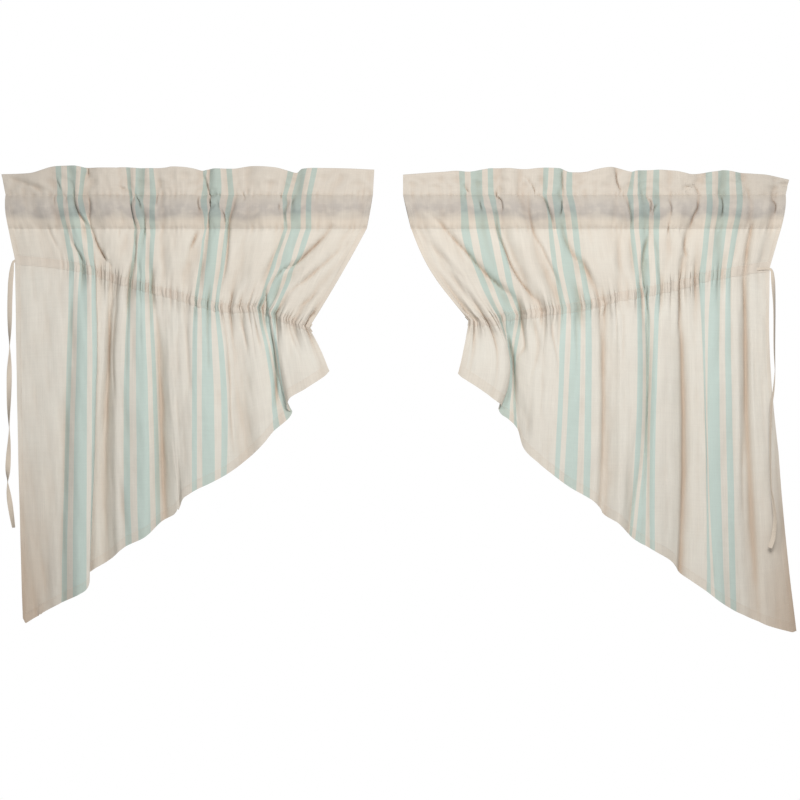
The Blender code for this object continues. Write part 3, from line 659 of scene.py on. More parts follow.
def sheetMiddle(panel, flat, drop, isFine):
    casing = casingDrop(flat)
    levels = (0.0, cut["header"], footDrop, casing)
    share = np.clip((drop - casing) / (hemDrop(flat) - casing), 0, 1)
    rise = np.clip((drop - footDrop) / (casing - footDrop), 0, 1)

    across = [lineColumn(panel, name, flat) for name in ("top", "seam", "pocket", "casing")]
    inward = between(levels, across, drop)
    lower = easyMiddle(across[3], lineColumn(panel, "middle", flat), lineColumn(panel, "hem", flat), share)
    bow = panel.outerBow * np.sin(2 * math.pi * np.clip(share, 0, 0.5))
    lower = lower + bow * np.exp(-flat / hang["outerBowReach"])
    inward = np.where(drop > casing, lower, inward)
    inward = inward + panel.innerBow * np.sin(math.pi * rise) * (flat / cut["width"]) ** 4

    heights = (
        lineColumn(panel, "topUp", flat),
        hang["seamHeight"] + 0.0 * flat,
        hang["footHeight"] + 0.0 * flat,
        lineColumn(panel, "casingUp", flat),
    )
    up = between(levels, heights, drop) + (lineColumn(panel, "hemUp", flat) - heights[3]) * share
    out = foldOut(panel, flat, drop) + gatherOut(panel, flat, drop)
    out = out + hangOut(panel, flat, drop) + blouseOut(flat, drop)
    if isFine:
        sunk, drawn = creaseShape(panel, inward, up)
        puckered, gathered = puckerShape(panel, flat, drop)
        out = out + sunk + puckered + seamOut(panel, flat, drop) + rumpleOut(panel, flat, drop)
        edge = np.clip(np.minimum(flat, cut["width"] - flat) / fine["edgeCalm"], 0, 1)
        inward = inward + edge * (drawn + gathered)
        for place, reach, lift in panel.lifts:
            up = up + lift * share ** fine["liftCurve"] * hump(flat - place, reach)
        outer = np.clip(1 - flat / fine["cornerReach"], 0, 1)
        outward, downward = fine["cornerCurve"]
        out = out - fine["cornerTurn"] * outer ** outward * share ** downward
        height, reach, pitch = fine["casingWander"]
        level = hump(drop - casing, reach) * gatherStart(flat)
        up = up + level * height * softNoise(flat, 0.0 * flat, pitch, panel.seed + 61)
    return np.array([inward, out, up])


def sheetNormal(panel, flat, drop, step):
    right = sheetMiddle(panel, flat + step, drop, False) - sheetMiddle(panel, flat - step, drop, False)
    down = sheetMiddle(panel, flat, drop + step, False) - sheetMiddle(panel, flat, drop - step, False)
    normal = np.cross(right, down, axis=0)
    normal = normal * np.where(normal[1] < 0, -1.0, 1.0)
    return normal / np.linalg.norm(normal, axis=0)


def clothPoints(panel, flat, drop, behind, setBack=0.0):
    middle = sheetMiddle(panel, flat, drop, True)
    normal = sheetNormal(panel, flat, drop, fine["normalStep"])
    along = np.clip(drop / cut["header"], 0, 1)
    gap = hang["seamGap"] + (hang["headerGap"] - hang["seamGap"]) * np.sin(math.pi * along)
    gap = gap * np.clip(drop / hang["foldedEdge"], 0, 1) ** 0.5
    gap = gap * np.where(drop <= footDrop, 1.0, np.exp((footDrop - drop) / hang["gapFade"]))
    opened = np.sin(math.pi * np.clip((drop - cut["header"]) / cut["pocket"], 0, 1) ** hang["pocketRound"])
    side = np.where(behind, -1.0, 1.0)
    middle[1] = np.where(behind, middle[1] * (1 - 2 * opened), middle[1])
    middle[1] = middle[1] + side * hang["pocketBulge"] * opened
    inward, out, up = middle + normal * (side * gap - setBack)
    return np.stack([panel.side * (hang["halfSpan"] - inward), -out, up], axis=-1) * mm


def addSheet(name, points, flatPlaces, thickness, paintedShades=None):
    rowCount, columnCount = points.shape[:2]
    bpy.ops.object.select_all(action="DESELECT")
    bpy.ops.mesh.primitive_grid_add(x_subdivisions=columnCount - 1, y_subdivisions=rowCount - 1, size=1)
    piece = bpy.context.object
    piece.name = name
    mesh = piece.data
    start = np.empty(3 * len(mesh.vertices))
    mesh.vertices.foreach_get("co", start)
    start = start.reshape(-1, 3)
    column = np.rint((start[:, 0] + 0.5) * (columnCount - 1)).astype(int)
    row = np.rint((start[:, 1] + 0.5) * (rowCount - 1)).astype(int)
    mesh.vertices.foreach_set("co", points[row, column].ravel())
    corner = np.empty(len(mesh.loops), dtype=int)
    mesh.loops.foreach_get("vertex_index", corner)
    mesh.uv_layers[0].name = "flatCut"
    mesh.uv_layers[0].data.foreach_set("uv", flatPlaces[row, column][corner].ravel())
    if paintedShades is not None:
        mesh.attributes.new("paintedShade", "FLOAT", "POINT").data.foreach_set("value", paintedShades[row, column])
    mesh.update()
    wall = piece.modifiers.new("cloth thickness", "SOLIDIFY")
    wall.thickness = thickness * mm
    wall.offset = 0
    bpy.ops.object.modifier_apply(modifier=wall.name)
    bpy.ops.object.shade_smooth_by_angle(angle=math.radians(55))
    return piece


# Ties: the free ends of the drawstrings. Columns: in from the pair's outer end, height, towards the
# viewer, turn of the tape in degrees, width; lengths in metres
tieRoutes = {
    "left": (
        (0.0440, -0.1085, -0.0012, 0, 0.0080),
        (0.0350, -0.1082, -0.0012, 0, 0.0070),
        (0.0290, -0.1092, -0.0011, 0, 0.0050),
        (0.0256, -0.1128, -0.001, 0, 0.0045),
        (0.0246, -0.1185, -0.001, 0, 0.0062),
        (0.0230, -0.133, 0.000, 0, 0.0090),
        (0.0210, -0.160, 0.001, 4, 0.010),
        (0.0200, -0.207, 0.002, 12, 0.010),
        (0.0200, -0.286, 0.003, 90, 0.010),
        (0.0190, -0.346, 0.003, 172, 0.010),
        (0.0180, -0.405, 0.002, 225, 0.010),
        (0.0190, -0.455, 0.002, 275, 0.010),
        (0.0165, -0.515, 0.002, 352, 0.010),
        (0.0160, -0.548, 0.002, 440, 0.010),
        (0.0210, -0.594, 0.003, 530, 0.010),
        (0.0280, -0.639, 0.004, 580, 0.009),
    ),
    "right": (
        (0.0900, -0.1262, -0.0010, 0, 0.0060),
        (0.0850, -0.1258, 0.0012, 0, 0.0052),
        (0.0800, -0.1255, 0.0028, 0, 0.0048),
        (0.0720, -0.1250, 0.0016, 0, 0.0046),
        (0.0650, -0.1246, 0.0006, 0, 0.0046),
        (0.0590, -0.1248, 0.0004, 0, 0.0046),
        (0.0550, -0.1275, 0.0002, 0, 0.0045),
        (0.0533, -0.1335, 0.0000, 8, 0.0062),
        (0.0518, -0.155, 0.003, 30, 0.0090),
        (0.0505, -0.205, 0.008, 58, 0.010),
        (0.0515, -0.286, 0.014, 66, 0.010),
        (0.0510, -0.325, 0.017, 80, 0.010),
        (0.0535, -0.364, 0.019, 96, 0.010),
        (0.0585, -0.400, 0.020, 104, 0.010),
        (0.0605, -0.482, 0.020, 100, 0.010),
        (0.0590, -0.556, 0.020, 94, 0.010),
        (0.0540, -0.590, 0.019, 110, 0.010),
        (0.0510, -0.619, 0.019, 118, 0.010),
        (0.0540, -0.655, 0.019, 140, 0.010),
        (0.0610, -0.678, 0.019, 166, 0.009),
    ),
}
tieTape = {"width": 0.010, "thickness": 0.8, "steps": 150, "across": 6, "crown": 0.0005}


def addTie(panel):
    stops = np.array(tieRoutes[panel.name])
    run = np.concatenate(([0.0], np.cumsum(np.linalg.norm(np.diff(stops[:, :3], axis=0), axis=1))))
    places = np.linspace(0, run[-1], tieTape["steps"] + 1)
    inward, up, out, turn, width = [smoothCurve(run, stops[:, k], places) for k in range(5)]
    runIn, runUp = np.gradient(inward), np.gradient(up)
    length = np.hypot(runIn, runUp)
    face, edge = np.cos(np.radians(turn)), np.sin(np.radians(turn))
    rows, flatRows = [], []
    for share in np.linspace(-0.5, 0.5, tieTape["across"] + 1):
        reach = share * width
        lift = tieTape["crown"] * (1 - (2 * share) ** 4)
        tapeIn = inward - (reach * face - lift * edge) * runUp / length
        tapeUp = up + (reach * face - lift * edge) * runIn / length
        tapeOut = out + reach * edge + lift * face
        across = panel.side * (hang["halfSpan"] * mm - tapeIn)
        rows.append(np.stack([across, -tapeOut, tapeUp], axis=-1))
        flatRows.append(np.stack([places, 0 * places + share * tieTape["width"]], axis=-1))
    tie = addSheet(panel.name + "_tie_tape", np.array(rows), np.array(flatRows), tieTape["thickness"])
    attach(tie, "root")
    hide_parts(panel.name + "_tie")
    print(panel.name, "tie,", round(run[-1], 3), "m long")
    return tie


ties = [addTie(panel) for panel in panels]


# Rows of the cloth's mesh, closer together at the folded edge, the casing and the top of each stretch
meshRows = {
    "edge": [0.6, 1.6, 3.2],
    "header": (6, 12),  # at the back, at the front
    "pocket": (9, 20),
    "upper": (24, 1.3),  # count, ease
    "casing": (-0.36, -0.18, 0.0, 0.18, 0.36, 0.5),
    "hang": (35, 1.5),
}


def dropRows(first, last, count):
    return [first + (last - first) * (k / count) for k in range(1, count + 1)]


def panelRows():
    sides = []
    for headerCount, pocketCount in zip(meshRows["header"], meshRows["pocket"]):
        levels = meshRows["edge"] + dropRows(meshRows["edge"][-1], cut["header"], headerCount)
        sides.append(levels + dropRows(cut["header"], footDrop, pocketCount))
    rows = [("back", level) for level in reversed(sides[0])]
    rows += [("front", level) for level in [0.0] + sides[1]]
    count, ease = meshRows["upper"]
    rows += [("upper", 1 - (1 - k / count) ** ease) for k in range(1, count + 1)]
    rows += [("casing", share) for share in meshRows["casing"]]
    count, ease = meshRows["hang"]
    return rows + [("hang", (k / count) ** ease) for k in range(1, count + 1)]


def rowDrop(kind, value, flat):
    casing = casingDrop(flat)
    half = 0.5 * cut["casingWidth"]
    if kind == "upper":
        return footDrop + value * (casing - half - footDrop)
    if kind == "casing":
        return casing + value * cut["casingWidth"]
    if kind == "hang":
        return casing + half + value * (hemDrop(flat) - casing - half)
    return value + 0.0 * flat


# Painted shade, from 0 to 1, for how deep each point lies in its folds: soft light is lost there, so the
# cloth is painted browner. A hollow is compared with the cloth within reach of it: reach, depth and weight
paintedShadeForm = {
    "paintedShades": ((5.0, 1.8, 0.5), (12.0, 5.0, 0.42), (36.0, 22.0, 0.27)),
    "places": 458,
    "spread": 3,
    "casingPale": 0.5,
    "paleReach": 26,
    "paleFrom": 10,
    "cornerShade": 1.0,
    "cornerFall": (0.6, 0.35),
}


def paintedShadeShares(panel, flat):
    form = paintedShadeForm
    rows = panelRows()
    drops = np.array([rowDrop(kind, value, flat) for kind, value in rows])
    out = np.array([sheetMiddle(panel, flat, drop, True)[1] for drop in drops])
    even = np.linspace(0, cut["width"], form["places"])
    level = np.array([np.interp(even, flat, row) for row in out])
    below = np.array([rowDrop(kind, value, even) - casingDrop(even) for kind, value in rows])
    # less painted fold shade near the casing
    pale = 1 - form["casingPale"] * hump(below, form["paleReach"])
    shares = 0.0 * level
    for reach, depth, weight in form["paintedShades"]:
        steps = int(form["spread"] * reach / (even[1] - even[0]))
        weights = np.exp(-0.5 * (np.arange(-steps, steps + 1) * float(form["spread"]) / steps) ** 2)
        padded = np.pad(level, ((0, 0), (steps, steps)), mode="edge")
        smooth = np.array([np.convolve(row, weights / weights.sum(), mode="valid") for row in padded])
        share = weight * np.clip((smooth - level) / depth, 0, 1)
        shares = shares + share * (pale if reach > form["paleFrom"] else 1)
    shares = np.array([np.interp(flat, even, row) for row in shares])
    # painted shade on the outer corner, growing towards the hem, where the cloth turns away from the light
    turned = np.clip(1 - flat / fine["cornerReach"], 0, 1)
    start, span = form["cornerFall"]
    fallen = np.clip((drops / hemDrop(flat) - start) / span, 0, 1)
    return np.clip(shares + form["cornerShade"] * turned * fallen, 0, 1)


def addPanel(panel):
    flat = flatColumns()
    points, flatPlaces = [], []
    for kind, value in panelRows():
        drop = rowDrop(kind, value, flat)
        points.append(clothPoints(panel, flat, drop, kind == "back"))
        flatPlaces.append(np.stack([flat, -drop if kind == "back" else drop], axis=-1) * mm)
    name = panel.name + "_swag_cloth"
    paintedShades = paintedShadeShares(panel, flat)
    cloth = addSheet(name, np.array(points), np.array(flatPlaces), fine["thickness"], paintedShades)
    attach(cloth, "root")
    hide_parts(panel.name + "_panel")
    print(panel.name, "panel,", len(cloth.data.polygons), "faces")
    return cloth


casingStrip = {"rows": 6, "setBack": 2.6, "thickness": 0.8}


def addCasing(panel):
    flat = flatColumns()
    points, flatPlaces = [], []
    for k in range(casingStrip["rows"] + 1):
        drop = rowDrop("casing", k / casingStrip["rows"] - 0.5, flat)
        points.append(clothPoints(panel, flat, drop, False, casingStrip["setBack"]))
        flatPlaces.append(np.stack([flat, drop - casingDrop(flat)], axis=-1) * mm)
    name = panel.name + "_casing_strip"
    strip = addSheet(name, np.array(points), np.array(flatPlaces), casingStrip["thickness"])
    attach(strip, "root")
    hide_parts(panel.name + "_casing")
    return strip


# Lockstitch rows, a joined mesh of small spindles for each panel; sizes in millimetres
stitch = {
    "pitch": 3.2,
    "length": 2.4,
    "width": 0.5,
    "height": 0.36,
    "inset": 1.6,
    "casingInset": 1,
    "endGap": 3,
    "shoulder": 0.55,
    "ring": ((1, 0.4), (0, 1.4), (-1, 0.4), (0, -0.6)),  # sideways and outward, in halves
}


def stitchRows():
    across = np.arange(stitch["inset"], cut["width"] - stitch["inset"], stitch["pitch"])
    half = 0.5 * cut["casingWidth"] - stitch["casingInset"]
    rows = [(across, cut["header"] + 0 * across), (across, footDrop - stitch["inset"] + 0 * across)]
    rows += [(across, casingDrop(across) + shift) for shift in (-half, half)]
    rows.append((across, hemDrop(across) - cut["bottomHem"] + stitch["inset"]))
    for edge in (cut["sideHem"] - stitch["inset"], cut["width"] - cut["sideHem"] + stitch["inset"]):
        down = np.arange(stitch["endGap"], hemDrop(edge) - stitch["endGap"], stitch["pitch"])
        rows.append((edge + 0 * down, down))
    return rows


def addStitches(panel):
    flat, drop, runFlat, runDrop = [], [], [], []
    for rowFlat, rowDown in stitchRows():
        length = np.hypot(np.gradient(rowFlat), np.gradient(rowDown))
        flat.append(rowFlat)
        drop.append(rowDown)
        runFlat.append(np.gradient(rowFlat) / length)
        runDrop.append(np.gradient(rowDown) / length)
    flat, drop, runFlat, runDrop = [np.concatenate(group) for group in (flat, drop, runFlat, runDrop)]
    moves = ((runFlat, runDrop), (-runFlat, -runDrop), (-runDrop, runFlat), (runDrop, -runFlat))
    ahead, behind, left, right = [clothPoints(panel, flat + a, drop + b, False) for a, b in moves]
    along, aside = ahead - behind, right - left
    along /= np.linalg.norm(along, axis=1, keepdims=True)
    outward = np.cross(along, aside)
    outward *= np.where(outward[:, 1:2] > 0, -1, 1) / np.linalg.norm(outward, axis=1, keepdims=True)
    aside = np.cross(outward, along)
    centre = 0.25 * (ahead + behind + left + right) + outward * 0.5 * fine["thickness"] * mm
    long, wide, tall = [0.5 * stitch[key] * mm for key in ("length", "width", "height")]
    corners = [centre - along * long - outward * tall]
    for share in (-stitch["shoulder"], stitch["shoulder"]):
        shoulder = centre + along * long * share
        for sideShare, outShare in stitch["ring"]:
            corners.append(shoulder + aside * wide * sideShare + outward * tall * outShare)
    corners.append(centre + along * long - outward * tall)
    spindle = [(0, k + 1, (k + 1) % 4 + 1) for k in range(4)]
    spindle += [(k + 1, k + 5, (k + 1) % 4 + 5, (k + 1) % 4 + 1) for k in range(4)]
    spindle += [(9, (k + 1) % 4 + 5, k + 5) for k in range(4)]
    points = np.stack(corners, axis=1).reshape(-1, 3)
    faces = [[10 * n + k for k in face] for n in range(len(flat)) for face in spindle]
    mesh = bpy.data.meshes.new(panel.name + "_stitches")
    mesh.from_pydata(points.tolist(), [], faces)
    piece = bpy.data.objects.new(panel.name + "_stitches", mesh)
    bpy.context.collection.objects.link(piece)
    bpy.ops.object.select_all(action="DESELECT")
    bpy.context.view_layer.objects.active = piece
    piece.select_set(True)
    bpy.ops.object.mode_set(mode="EDIT")
    bpy.ops.mesh.select_all(action="SELECT")
    bpy.ops.mesh.normals_make_consistent(inside=False)
    bpy.ops.object.mode_set(mode="OBJECT")
    bpy.ops.object.shade_smooth()
    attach(piece, "root")
    print(panel.name, "stitches,", len(flat))
    return piece


cloths = [addPanel(panel) for panel in panels]
strips = [addCasing(panel) for panel, cloth in zip(panels, cloths)]
stitches = [addStitches(panel) for panel in panels]
print("cloth made")

# Look of the cloth: yarn-dyed cotton, so the stripes show on both faces with soft edges. Lengths are in
# metres; a noise is its scale and detail, a bump its strength and distance, a range from-to, from-to
clothLook = {
    "cream": "#DBD7CD",
    "creamWarm": "#D6CEC2",
    "aqua": "#C4CFC8",
    "aquaDeep": "#B8C8C0",
    "stripePitch": 0.200,
    "firstGap": 0.056,
    "wideHalf": 0.0125,
    "thinCentre": 0.0305,
    "thinHalf": 0.006,
    "edgeBlur": 0.0006,
    "roughness": 0.9,
    "specular": 0.25,
    "sheen": 0.12,
    "sheenRoughness": 0.6,
    "threadPitch": 0.0012,
    "warpStreaks": (420, 14, 1),
    "weftStreaks": (12, 340, 1),
    "slubShade": (0.5, 1.0, 0.95, 1.035),
    "noises": {"blotch": (16, 2), "patch": (12, 2), "blot": (45, 3), "wrinkle": (70, 4)},
    "topBlur": 0.0004,
    "hemBlur": 0.0005,
    "upperEdge": (0.05, -0.02),
    "endBand": (0.13, 0.05),
    "slackBand": (0.119, 0.0095, 0.0085),
    "slackPatches": (0.38, 0.58, 0.35, 1.0),
    # where the painted shadow of the rod ends, how soft and wavy its edge is, how it deepens and its
    # patches
    "rodFoot": 0.130,
    "rodBlur": 0.008,
    "rodWave": 0.055,
    "rodDeepens": (0.032, 0.1, 1.15),
    "rodPatches": (0.35, 0.6, 0.45, 1.0),
    "crimpScale": (160, 12, 1),
    "crimpReach": 0.018,
    "crimpFade": 0.015,
    "crimpStart": (0.08, 0.17),
    "upperTint": (0.965, 0.945, 0.93, 1),
    "upperStripeTint": (0.95, 0.965, 0.965, 1),
    # tints: painted shade for the doubled cloth (hem, header, casing), the header's outer end, the rod's
    # shadow and the folds; painted light for the slack below the rod
    "tints": {
        "hem": (0.98, 0.96, 0.945, 1),
        "header": (0.92, 0.92, 0.925, 1),
        "casing": (0.985, 0.975, 0.975, 1),
        "end": (0.93, 0.93, 0.93, 1),
        "slack": (1.24, 1.22, 1.20, 1),
        "rodShadow": (0.76, 0.765, 0.795, 1),
        "paintedShade": (0.76, 0.655, 0.58, 1),
    },
    "bumps": {
        "layer": (0.5, 0.0007),
        "crimp": (1, 0.005),
        "wrinkle": (0.5, 0.0012),
        "slub": (0.4, 0.0003),
        "weave": (0.4, 0.0002),
    },
}
smoothRange = {"interpolation_type": "SMOOTHSTEP"}
colourMix = {"data_type": "RGBA"}
colourProduct = {"data_type": "RGBA", "blend_type": "MULTIPLY"}


def rangeLinks(value, *limits):
    return {"Value": value, **dict(zip(("From Min", "From Max", "To Min", "To Max"), limits))}


def weaveLinks(flatMap):
    scale = 2 * math.pi / (20 * clothLook["threadPitch"])
    return {"Vector": flatMap, "Scale": scale, "Distortion": 0.4, "Detail Scale": 2}


# A mask that is 1 within half of the centre and fades over the blur
def bandMask(tree, value, centre, half, blur):
    gap = addNode(tree, "Math", {"operation": "SUBTRACT"}, {0: value, 1: centre})
    size = addNode(tree, "Math", {"operation": "ABSOLUTE"}, {0: gap})
    return addNode(tree, "MapRange", smoothRange, rangeLinks(size, half + blur, half - blur))


def joinMasks(tree, operation, masks):
    joined = masks[0]
    for mask in masks[1:]:
        joined = addNode(tree, "Math", {"operation": operation}, {0: joined, 1: mask})
    return joined


def tinted(tree, share, colour, tint):
    whole = addNode(tree, "Mix", colourProduct, {0: 1.0, 6: colour, 7: tint}, 2)
    return addNode(tree, "Mix", colourMix, {0: share, 6: colour, 7: whole}, 2)


def streaks(tree, flatMap, scale, detail):
    scaled = addNode(tree, "Mapping", None, {0: flatMap, "Scale": scale})
    return addNode(tree, "TexNoise", None, {"Vector": scaled, "Scale": 1, "Detail": detail})


def newMaterial(name):
    material = bpy.data.materials.new(name)
    material.use_nodes = True
    material.node_tree.nodes.clear()
    return material, material.node_tree


def addShader(tree, links):
    shader = addNode(tree, "BsdfPrincipled", None, links)
    addNode(tree, "OutputMaterial", None, {"Surface": shader})


# Plain-weave cotton: matt, slightly hairy, with slubs along the warp that break up its even colour
def stripedCotton():
    look = clothLook
    names = ("cream", "creamWarm", "aqua", "aquaDeep")
    cream, creamWarm, aqua, aquaDeep = [linearColour(look[name]) for name in names]
    material, tree = newMaterial("plain weave cotton, yarn-dyed stripes")
    flatMap = addNode(tree, "UVMap", {"uv_map": "flatCut"})
    across = addNode(tree, "SeparateXYZ", None, {0: flatMap})
    down = across.node.outputs["Y"]

    # a stripe repeat, centred on its wide band
    place = across
    pitch = look["stripePitch"]
    for operation, amount in (("SUBTRACT", look["firstGap"]), ("MODULO", pitch), ("SUBTRACT", pitch / 2)):
        place = addNode(tree, "Math", {"operation": operation}, {0: place, 1: amount})
    size = addNode(tree, "Math", {"operation": "ABSOLUTE"}, {0: place})
    wide = bandMask(tree, place, 0.0, look["wideHalf"], look["edgeBlur"])
    thin = bandMask(tree, size, look["thinCentre"], look["thinHalf"], look["edgeBlur"])
    stripes = joinMasks(tree, "MAXIMUM", [wide, thin])

    # slubs: long thin streaks down the warp and shorter ones across
    warp = streaks(tree, flatMap, look["warpStreaks"], 3)
    weft = streaks(tree, flatMap, look["weftStreaks"], 3)
    noises = {}
    for name, (scale, detail) in look["noises"].items():
        links = {"Vector": flatMap, "Scale": scale, "Detail": detail}
        noises[name] = addNode(tree, "TexNoise", None, links)
    slubs = addNode(tree, "Math", {"operation": "MULTIPLY_ADD"}, {0: weft, 1: 0.5, 2: warp})
    ground = addNode(tree, "Mix", colourMix, {0: noises["blotch"], 6: cream, 7: creamWarm}, 2)
    dyed = addNode(tree, "Mix", colourMix, {0: warp, 6: aqua, 7: aquaDeep}, 2)
    colour = addNode(tree, "Mix", colourMix, {0: stripes, 6: ground, 7: dyed}, 2)
    shade = addNode(tree, "MapRange", None, rangeLinks(slubs, *look["slubShade"]))
    colour = addNode(tree, "Mix", colourProduct, {0: 1.0, 6: colour, 7: shade}, 2)

    # painted shade: doubled cloth lets less light through, so the header, pocket, casing and hems read a
    # little darker and warmer
    slopes = [(cut["casingOuter"] - cut["casingInner"]) / cut["width"]]
    slopes += [(cut["outerLength"] - cut["innerLength"]) / cut["width"]]
    casingLine, hemLine = [
        addNode(tree, "Math", {"operation": "MULTIPLY_ADD"}, {0: across, 1: slope, 2: down})
        for slope in slopes
    ]
    hemBlur = look["hemBlur"]
    bands = (
        (down, 0.0, footDrop, look["topBlur"]),
        (casingLine, cut["casingOuter"], 0.5 * cut["casingWidth"], hemBlur),
        (hemLine, cut["outerLength"], cut["bottomHem"], hemBlur),
        (across, 0.0, cut["sideHem"], hemBlur),
        (across, cut["width"], cut["sideHem"], hemBlur),
    )
    doubled = [bandMask(tree, value, centre * mm, half * mm, blur) for value, centre, half, blur in bands]
    layers = joinMasks(tree, "MAXIMUM", doubled)

    # the upper cloth reads warmer than the cloth that hangs below the casing, and its stripes a little
    # darker still
    rise = cut["casingOuter"] * mm
    limits = [rise + shift for shift in look["upperEdge"]]
    above = addNode(tree, "MapRange", smoothRange, rangeLinks(casingLine, *limits))
    warmer = addNode(tree, "Mix", colourProduct, {0: 1.0, 6: colour, 7: look["upperTint"]}, 2)
    warmer = tinted(tree, stripes, warmer, look["upperStripeTint"])
    colour = addNode(tree, "Mix", colourMix, {0: above, 6: colour, 7: warmer}, 2)

    # painted shade: the header is darker towards its outer end, where the side hem is turned in with it,
    # and darkest at the edge
    seam = cut["header"] * mm
    inHeader = addNode(tree, "Math", {"operation": "LESS_THAN"}, {0: down, 1: seam})
    ending = bandMask(tree, across, 0.0, *look["endBand"])

    # the slack below the rod is lit from under by the pale floor
    slack = bandMask(tree, down, *look["slackBand"])
    loose = addNode(tree, "MapRange", None, rangeLinks(noises["patch"], *look["slackPatches"]))

    # painted shadow of the rod, which is not modelled: the pocket is darker along its upper half, in
    # patches with a scalloped lower edge
    links = {0: noises["patch"], 1: look["rodWave"], 2: down}
    waved = addNode(tree, "Math", {"operation": "MULTIPLY_ADD"}, links)
    foot, blur = look["rodFoot"], look["rodBlur"]
    rodShadowBand = addNode(tree, "MapRange", smoothRange, rangeLinks(waved, foot + blur, foot - blur))
    below = addNode(tree, "Math", {"operation": "GREATER_THAN"}, {0: down, 1: seam})
    depth, faint, full = look["rodDeepens"]
    sunk = addNode(tree, "MapRange", None, rangeLinks(down, seam, seam + depth, faint, full))
    uneven = addNode(tree, "MapRange", None, rangeLinks(noises["blot"], *look["rodPatches"]))

    # each mask paints its tint over the colour: painted shade on the doubled cloth, the header's outer
    # end, the rod's shadow and the folds, painted light on the slack
    masks = {
        "hem": layers,
        "header": doubled[0],
        "casing": doubled[1],
        "end": joinMasks(tree, "MULTIPLY", [ending, inHeader]),
        "slack": joinMasks(tree, "MULTIPLY", [slack, loose]),
        "rodShadow": joinMasks(tree, "MULTIPLY", [rodShadowBand, below, sunk, uneven]),
        "paintedShade": addNode(tree, "Attribute", {"attribute_name": "paintedShade"}, None, "Fac"),
    }
    for name, mask in masks.items():
        colour = tinted(tree, mask, colour, look["tints"][name])

    # weave drawn at 1.2 mm, about twice the real thread spacing, so that it can show
    weave = weaveLinks(flatMap)
    threads = [addNode(tree, "TexWave", {"bands_direction": way}, weave, "Fac") for way in ("X", "Y")]

    # crimps where the drawstring packs the cloth, finer than the mesh carries
    crimps = streaks(tree, flatMap, look["crimpScale"], 1)
    packed = bandMask(tree, casingLine, rise, look["crimpReach"], look["crimpFade"])
    begun = addNode(tree, "MapRange", smoothRange, rangeLinks(across, *look["crimpStart"]))
    heights = {
        "layer": layers,
        "crimp": joinMasks(tree, "MULTIPLY", [crimps, packed, begun]),
        "wrinkle": noises["wrinkle"],
        "slub": slubs,
        "weave": joinMasks(tree, "MULTIPLY", threads),
    }
    links = {}
    for name, height in heights.items():
        strength, distance = look["bumps"][name]
        links.update({"Height": height, "Strength": strength, "Distance": distance})
        links["Normal"] = addNode(tree, "Bump", None, links)
    links = {
        "Base Color": colour,
        "Roughness": look["roughness"],
        "Specular IOR Level": look["specular"],
        "Sheen Weight": look["sheen"],
        "Sheen Roughness": look["sheenRoughness"],
        "Normal": links["Normal"],
    }
    addShader(tree, links)
    return material


# Plain cotton strip and flat woven tape: the same yarn undyed, a little duller
plainLook = {
    "strip": ("plain weave cotton strip", "#D9D0C3", "#D1C5B6", (30, 500, 1)),
    "tape": ("flat woven cotton tape", "#D6CBBD", "#C9BBAA", (500, 40, 1)),
    "roughness": 0.9,
    "specular": 0.25,
    "sheen": 0.1,
    "bump": (0.4, 0.0003),
}


def plainCotton(name, hexColour, hexWarm, streakScale):
    material, tree = newMaterial(name)
    flatMap = addNode(tree, "UVMap", {"uv_map": "flatCut"})
    slubs = streaks(tree, flatMap, streakScale, 3)
    links = {0: slubs, 6: linearColour(hexColour), 7: linearColour(hexWarm)}
    colour = addNode(tree, "Mix", colourMix, links, 2)
    threads = addNode(tree, "TexWave", {"bands_direction": "DIAGONAL"}, weaveLinks(flatMap), "Fac")
    strength, distance = plainLook["bump"]
    links = {"Height": threads, "Strength": strength, "Distance": distance}
    links = {
        "Base Color": colour,
        "Roughness": plainLook["roughness"],
        "Specular IOR Level": plainLook["specular"],
        "Sheen Weight": plainLook["sheen"],
        "Normal": addNode(tree, "Bump", None, links),
    }
    addShader(tree, links)
    return material


# Spun thread: the plies show as a fine twist
threadLook = {"dark": "#C9BEB0", "pale": "#E4DCD0", "plyScale": 900, "roughness": 0.7, "sheen": 0.1}


def stitchThread():
    look = threadLook
    material, tree = newMaterial("spun sewing thread")
    place = addNode(tree, "TexCoord", None, None, "Object")
    links = {"Vector": place, "Scale": look["plyScale"], "Distortion": 1.0, "Detail Scale": 2}
    plies = addNode(tree, "TexWave", {"bands_direction": "DIAGONAL"}, links, "Fac")
    links = {0: plies, 6: linearColour(look["dark"]), 7: linearColour(look["pale"])}
    colour = addNode(tree, "Mix", colourMix, links, 2)
    addShader(tree, {"Base Color": colour, "Roughness": look["roughness"], "Sheen Weight": look["sheen"]})
    return material


def dress(pieces, material):
    for piece in pieces:
        piece.data.materials.clear()
        piece.data.materials.append(material)


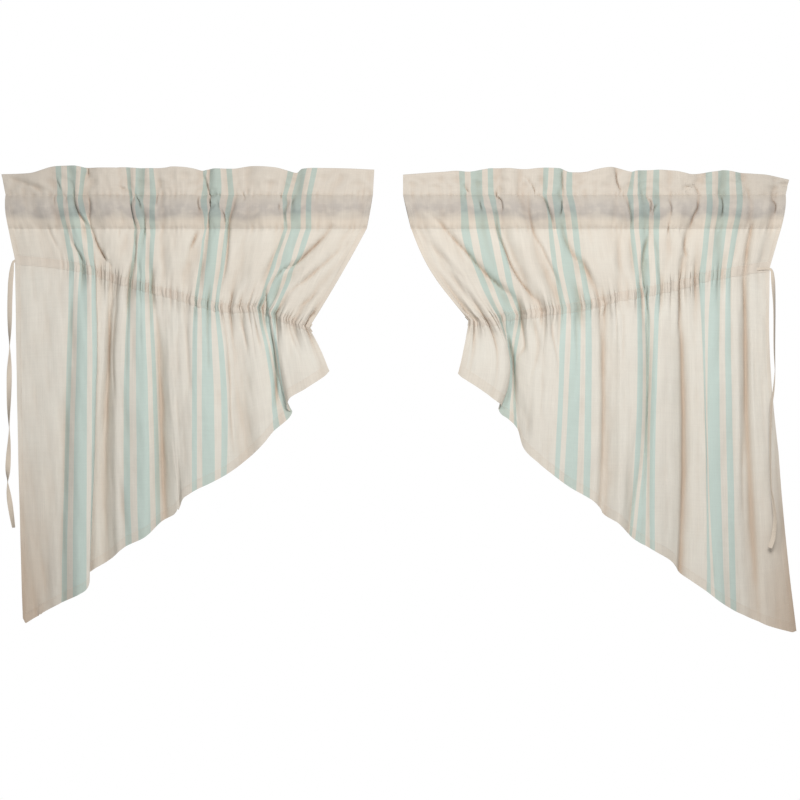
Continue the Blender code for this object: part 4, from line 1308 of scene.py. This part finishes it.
dress(cloths, stripedCotton())
dress(strips, plainCotton(*plainLook["strip"]))
dress(stitches, stitchThread())
dress(ties, plainCotton(*plainLook["tape"]))
print("materials made")

# Studio: pale floor well below the hems, one big soft light near the camera and a soft surround
studio = {
    "floorHeight": -1.75,
    "floorRadius": 2.0,
    "floorColour": "#F5F3EF",
    "floorRoughness": 0.9,
    "floorSides": 96,
    "surround": 0.24,
    "key": {"place": (0.52, -1.9, 0.5), "aim": (0.04, 0.0, -0.2), "size": 0.8, "power": 32.7},
    "fill": {"place": (-0.9, -2.1, 0.5), "aim": (0.0, 0.0, -0.2), "size": 0.8, "power": 14.7},
    "back": {"place": (0.8, 2.6, 0.8), "aim": (0.0, 0.0, -0.3), "size": 1.6, "power": 55.0},
}


def addStudio():
    bpy.ops.mesh.primitive_circle_add(
        vertices=studio["floorSides"],
        radius=studio["floorRadius"],
        fill_type="NGON",
        location=(0, 0, studio["floorHeight"]),
    )
    floor = bpy.context.object
    floor.name = "studio_floor"
    bpy.ops.object.transform_apply(location=True)
    material, tree = newMaterial("matt painted floor")
    colour = linearColour(studio["floorColour"])
    addShader(tree, {"Base Color": colour, "Roughness": studio["floorRoughness"]})
    dress([floor], material)
    for name in ("key", "fill", "back"):
        light = studio[name]
        bpy.ops.object.light_add(type="AREA", location=light["place"])
        lamp = bpy.context.object
        lamp.name = name + "_light"
        lamp.data.size = light["size"]
        lamp.data.energy = light["power"]
        towards = np.array(light["aim"]) - np.array(light["place"])
        flatRun = math.hypot(towards[0], towards[1])
        lamp.rotation_euler = (math.atan2(flatRun, -towards[2]), 0, math.atan2(-towards[0], towards[1]))
    world = bpy.data.worlds.new("soft surround")
    bpy.context.scene.world = world
    world.use_nodes = True
    tree = world.node_tree
    tree.nodes.clear()
    seen = addNode(tree, "LightPath", None, None, "Is Camera Ray")
    white = (1, 1, 1, 1)
    soft, plain = [
        addNode(tree, "Background", None, {"Color": white, "Strength": strength})
        for strength in (studio["surround"], 1.0)
    ]
    mix = addNode(tree, "MixShader", None, {0: seen, 1: soft, 2: plain})
    addNode(tree, "OutputWorld", None, {"Surface": mix})


addStudio()
print("studio made")
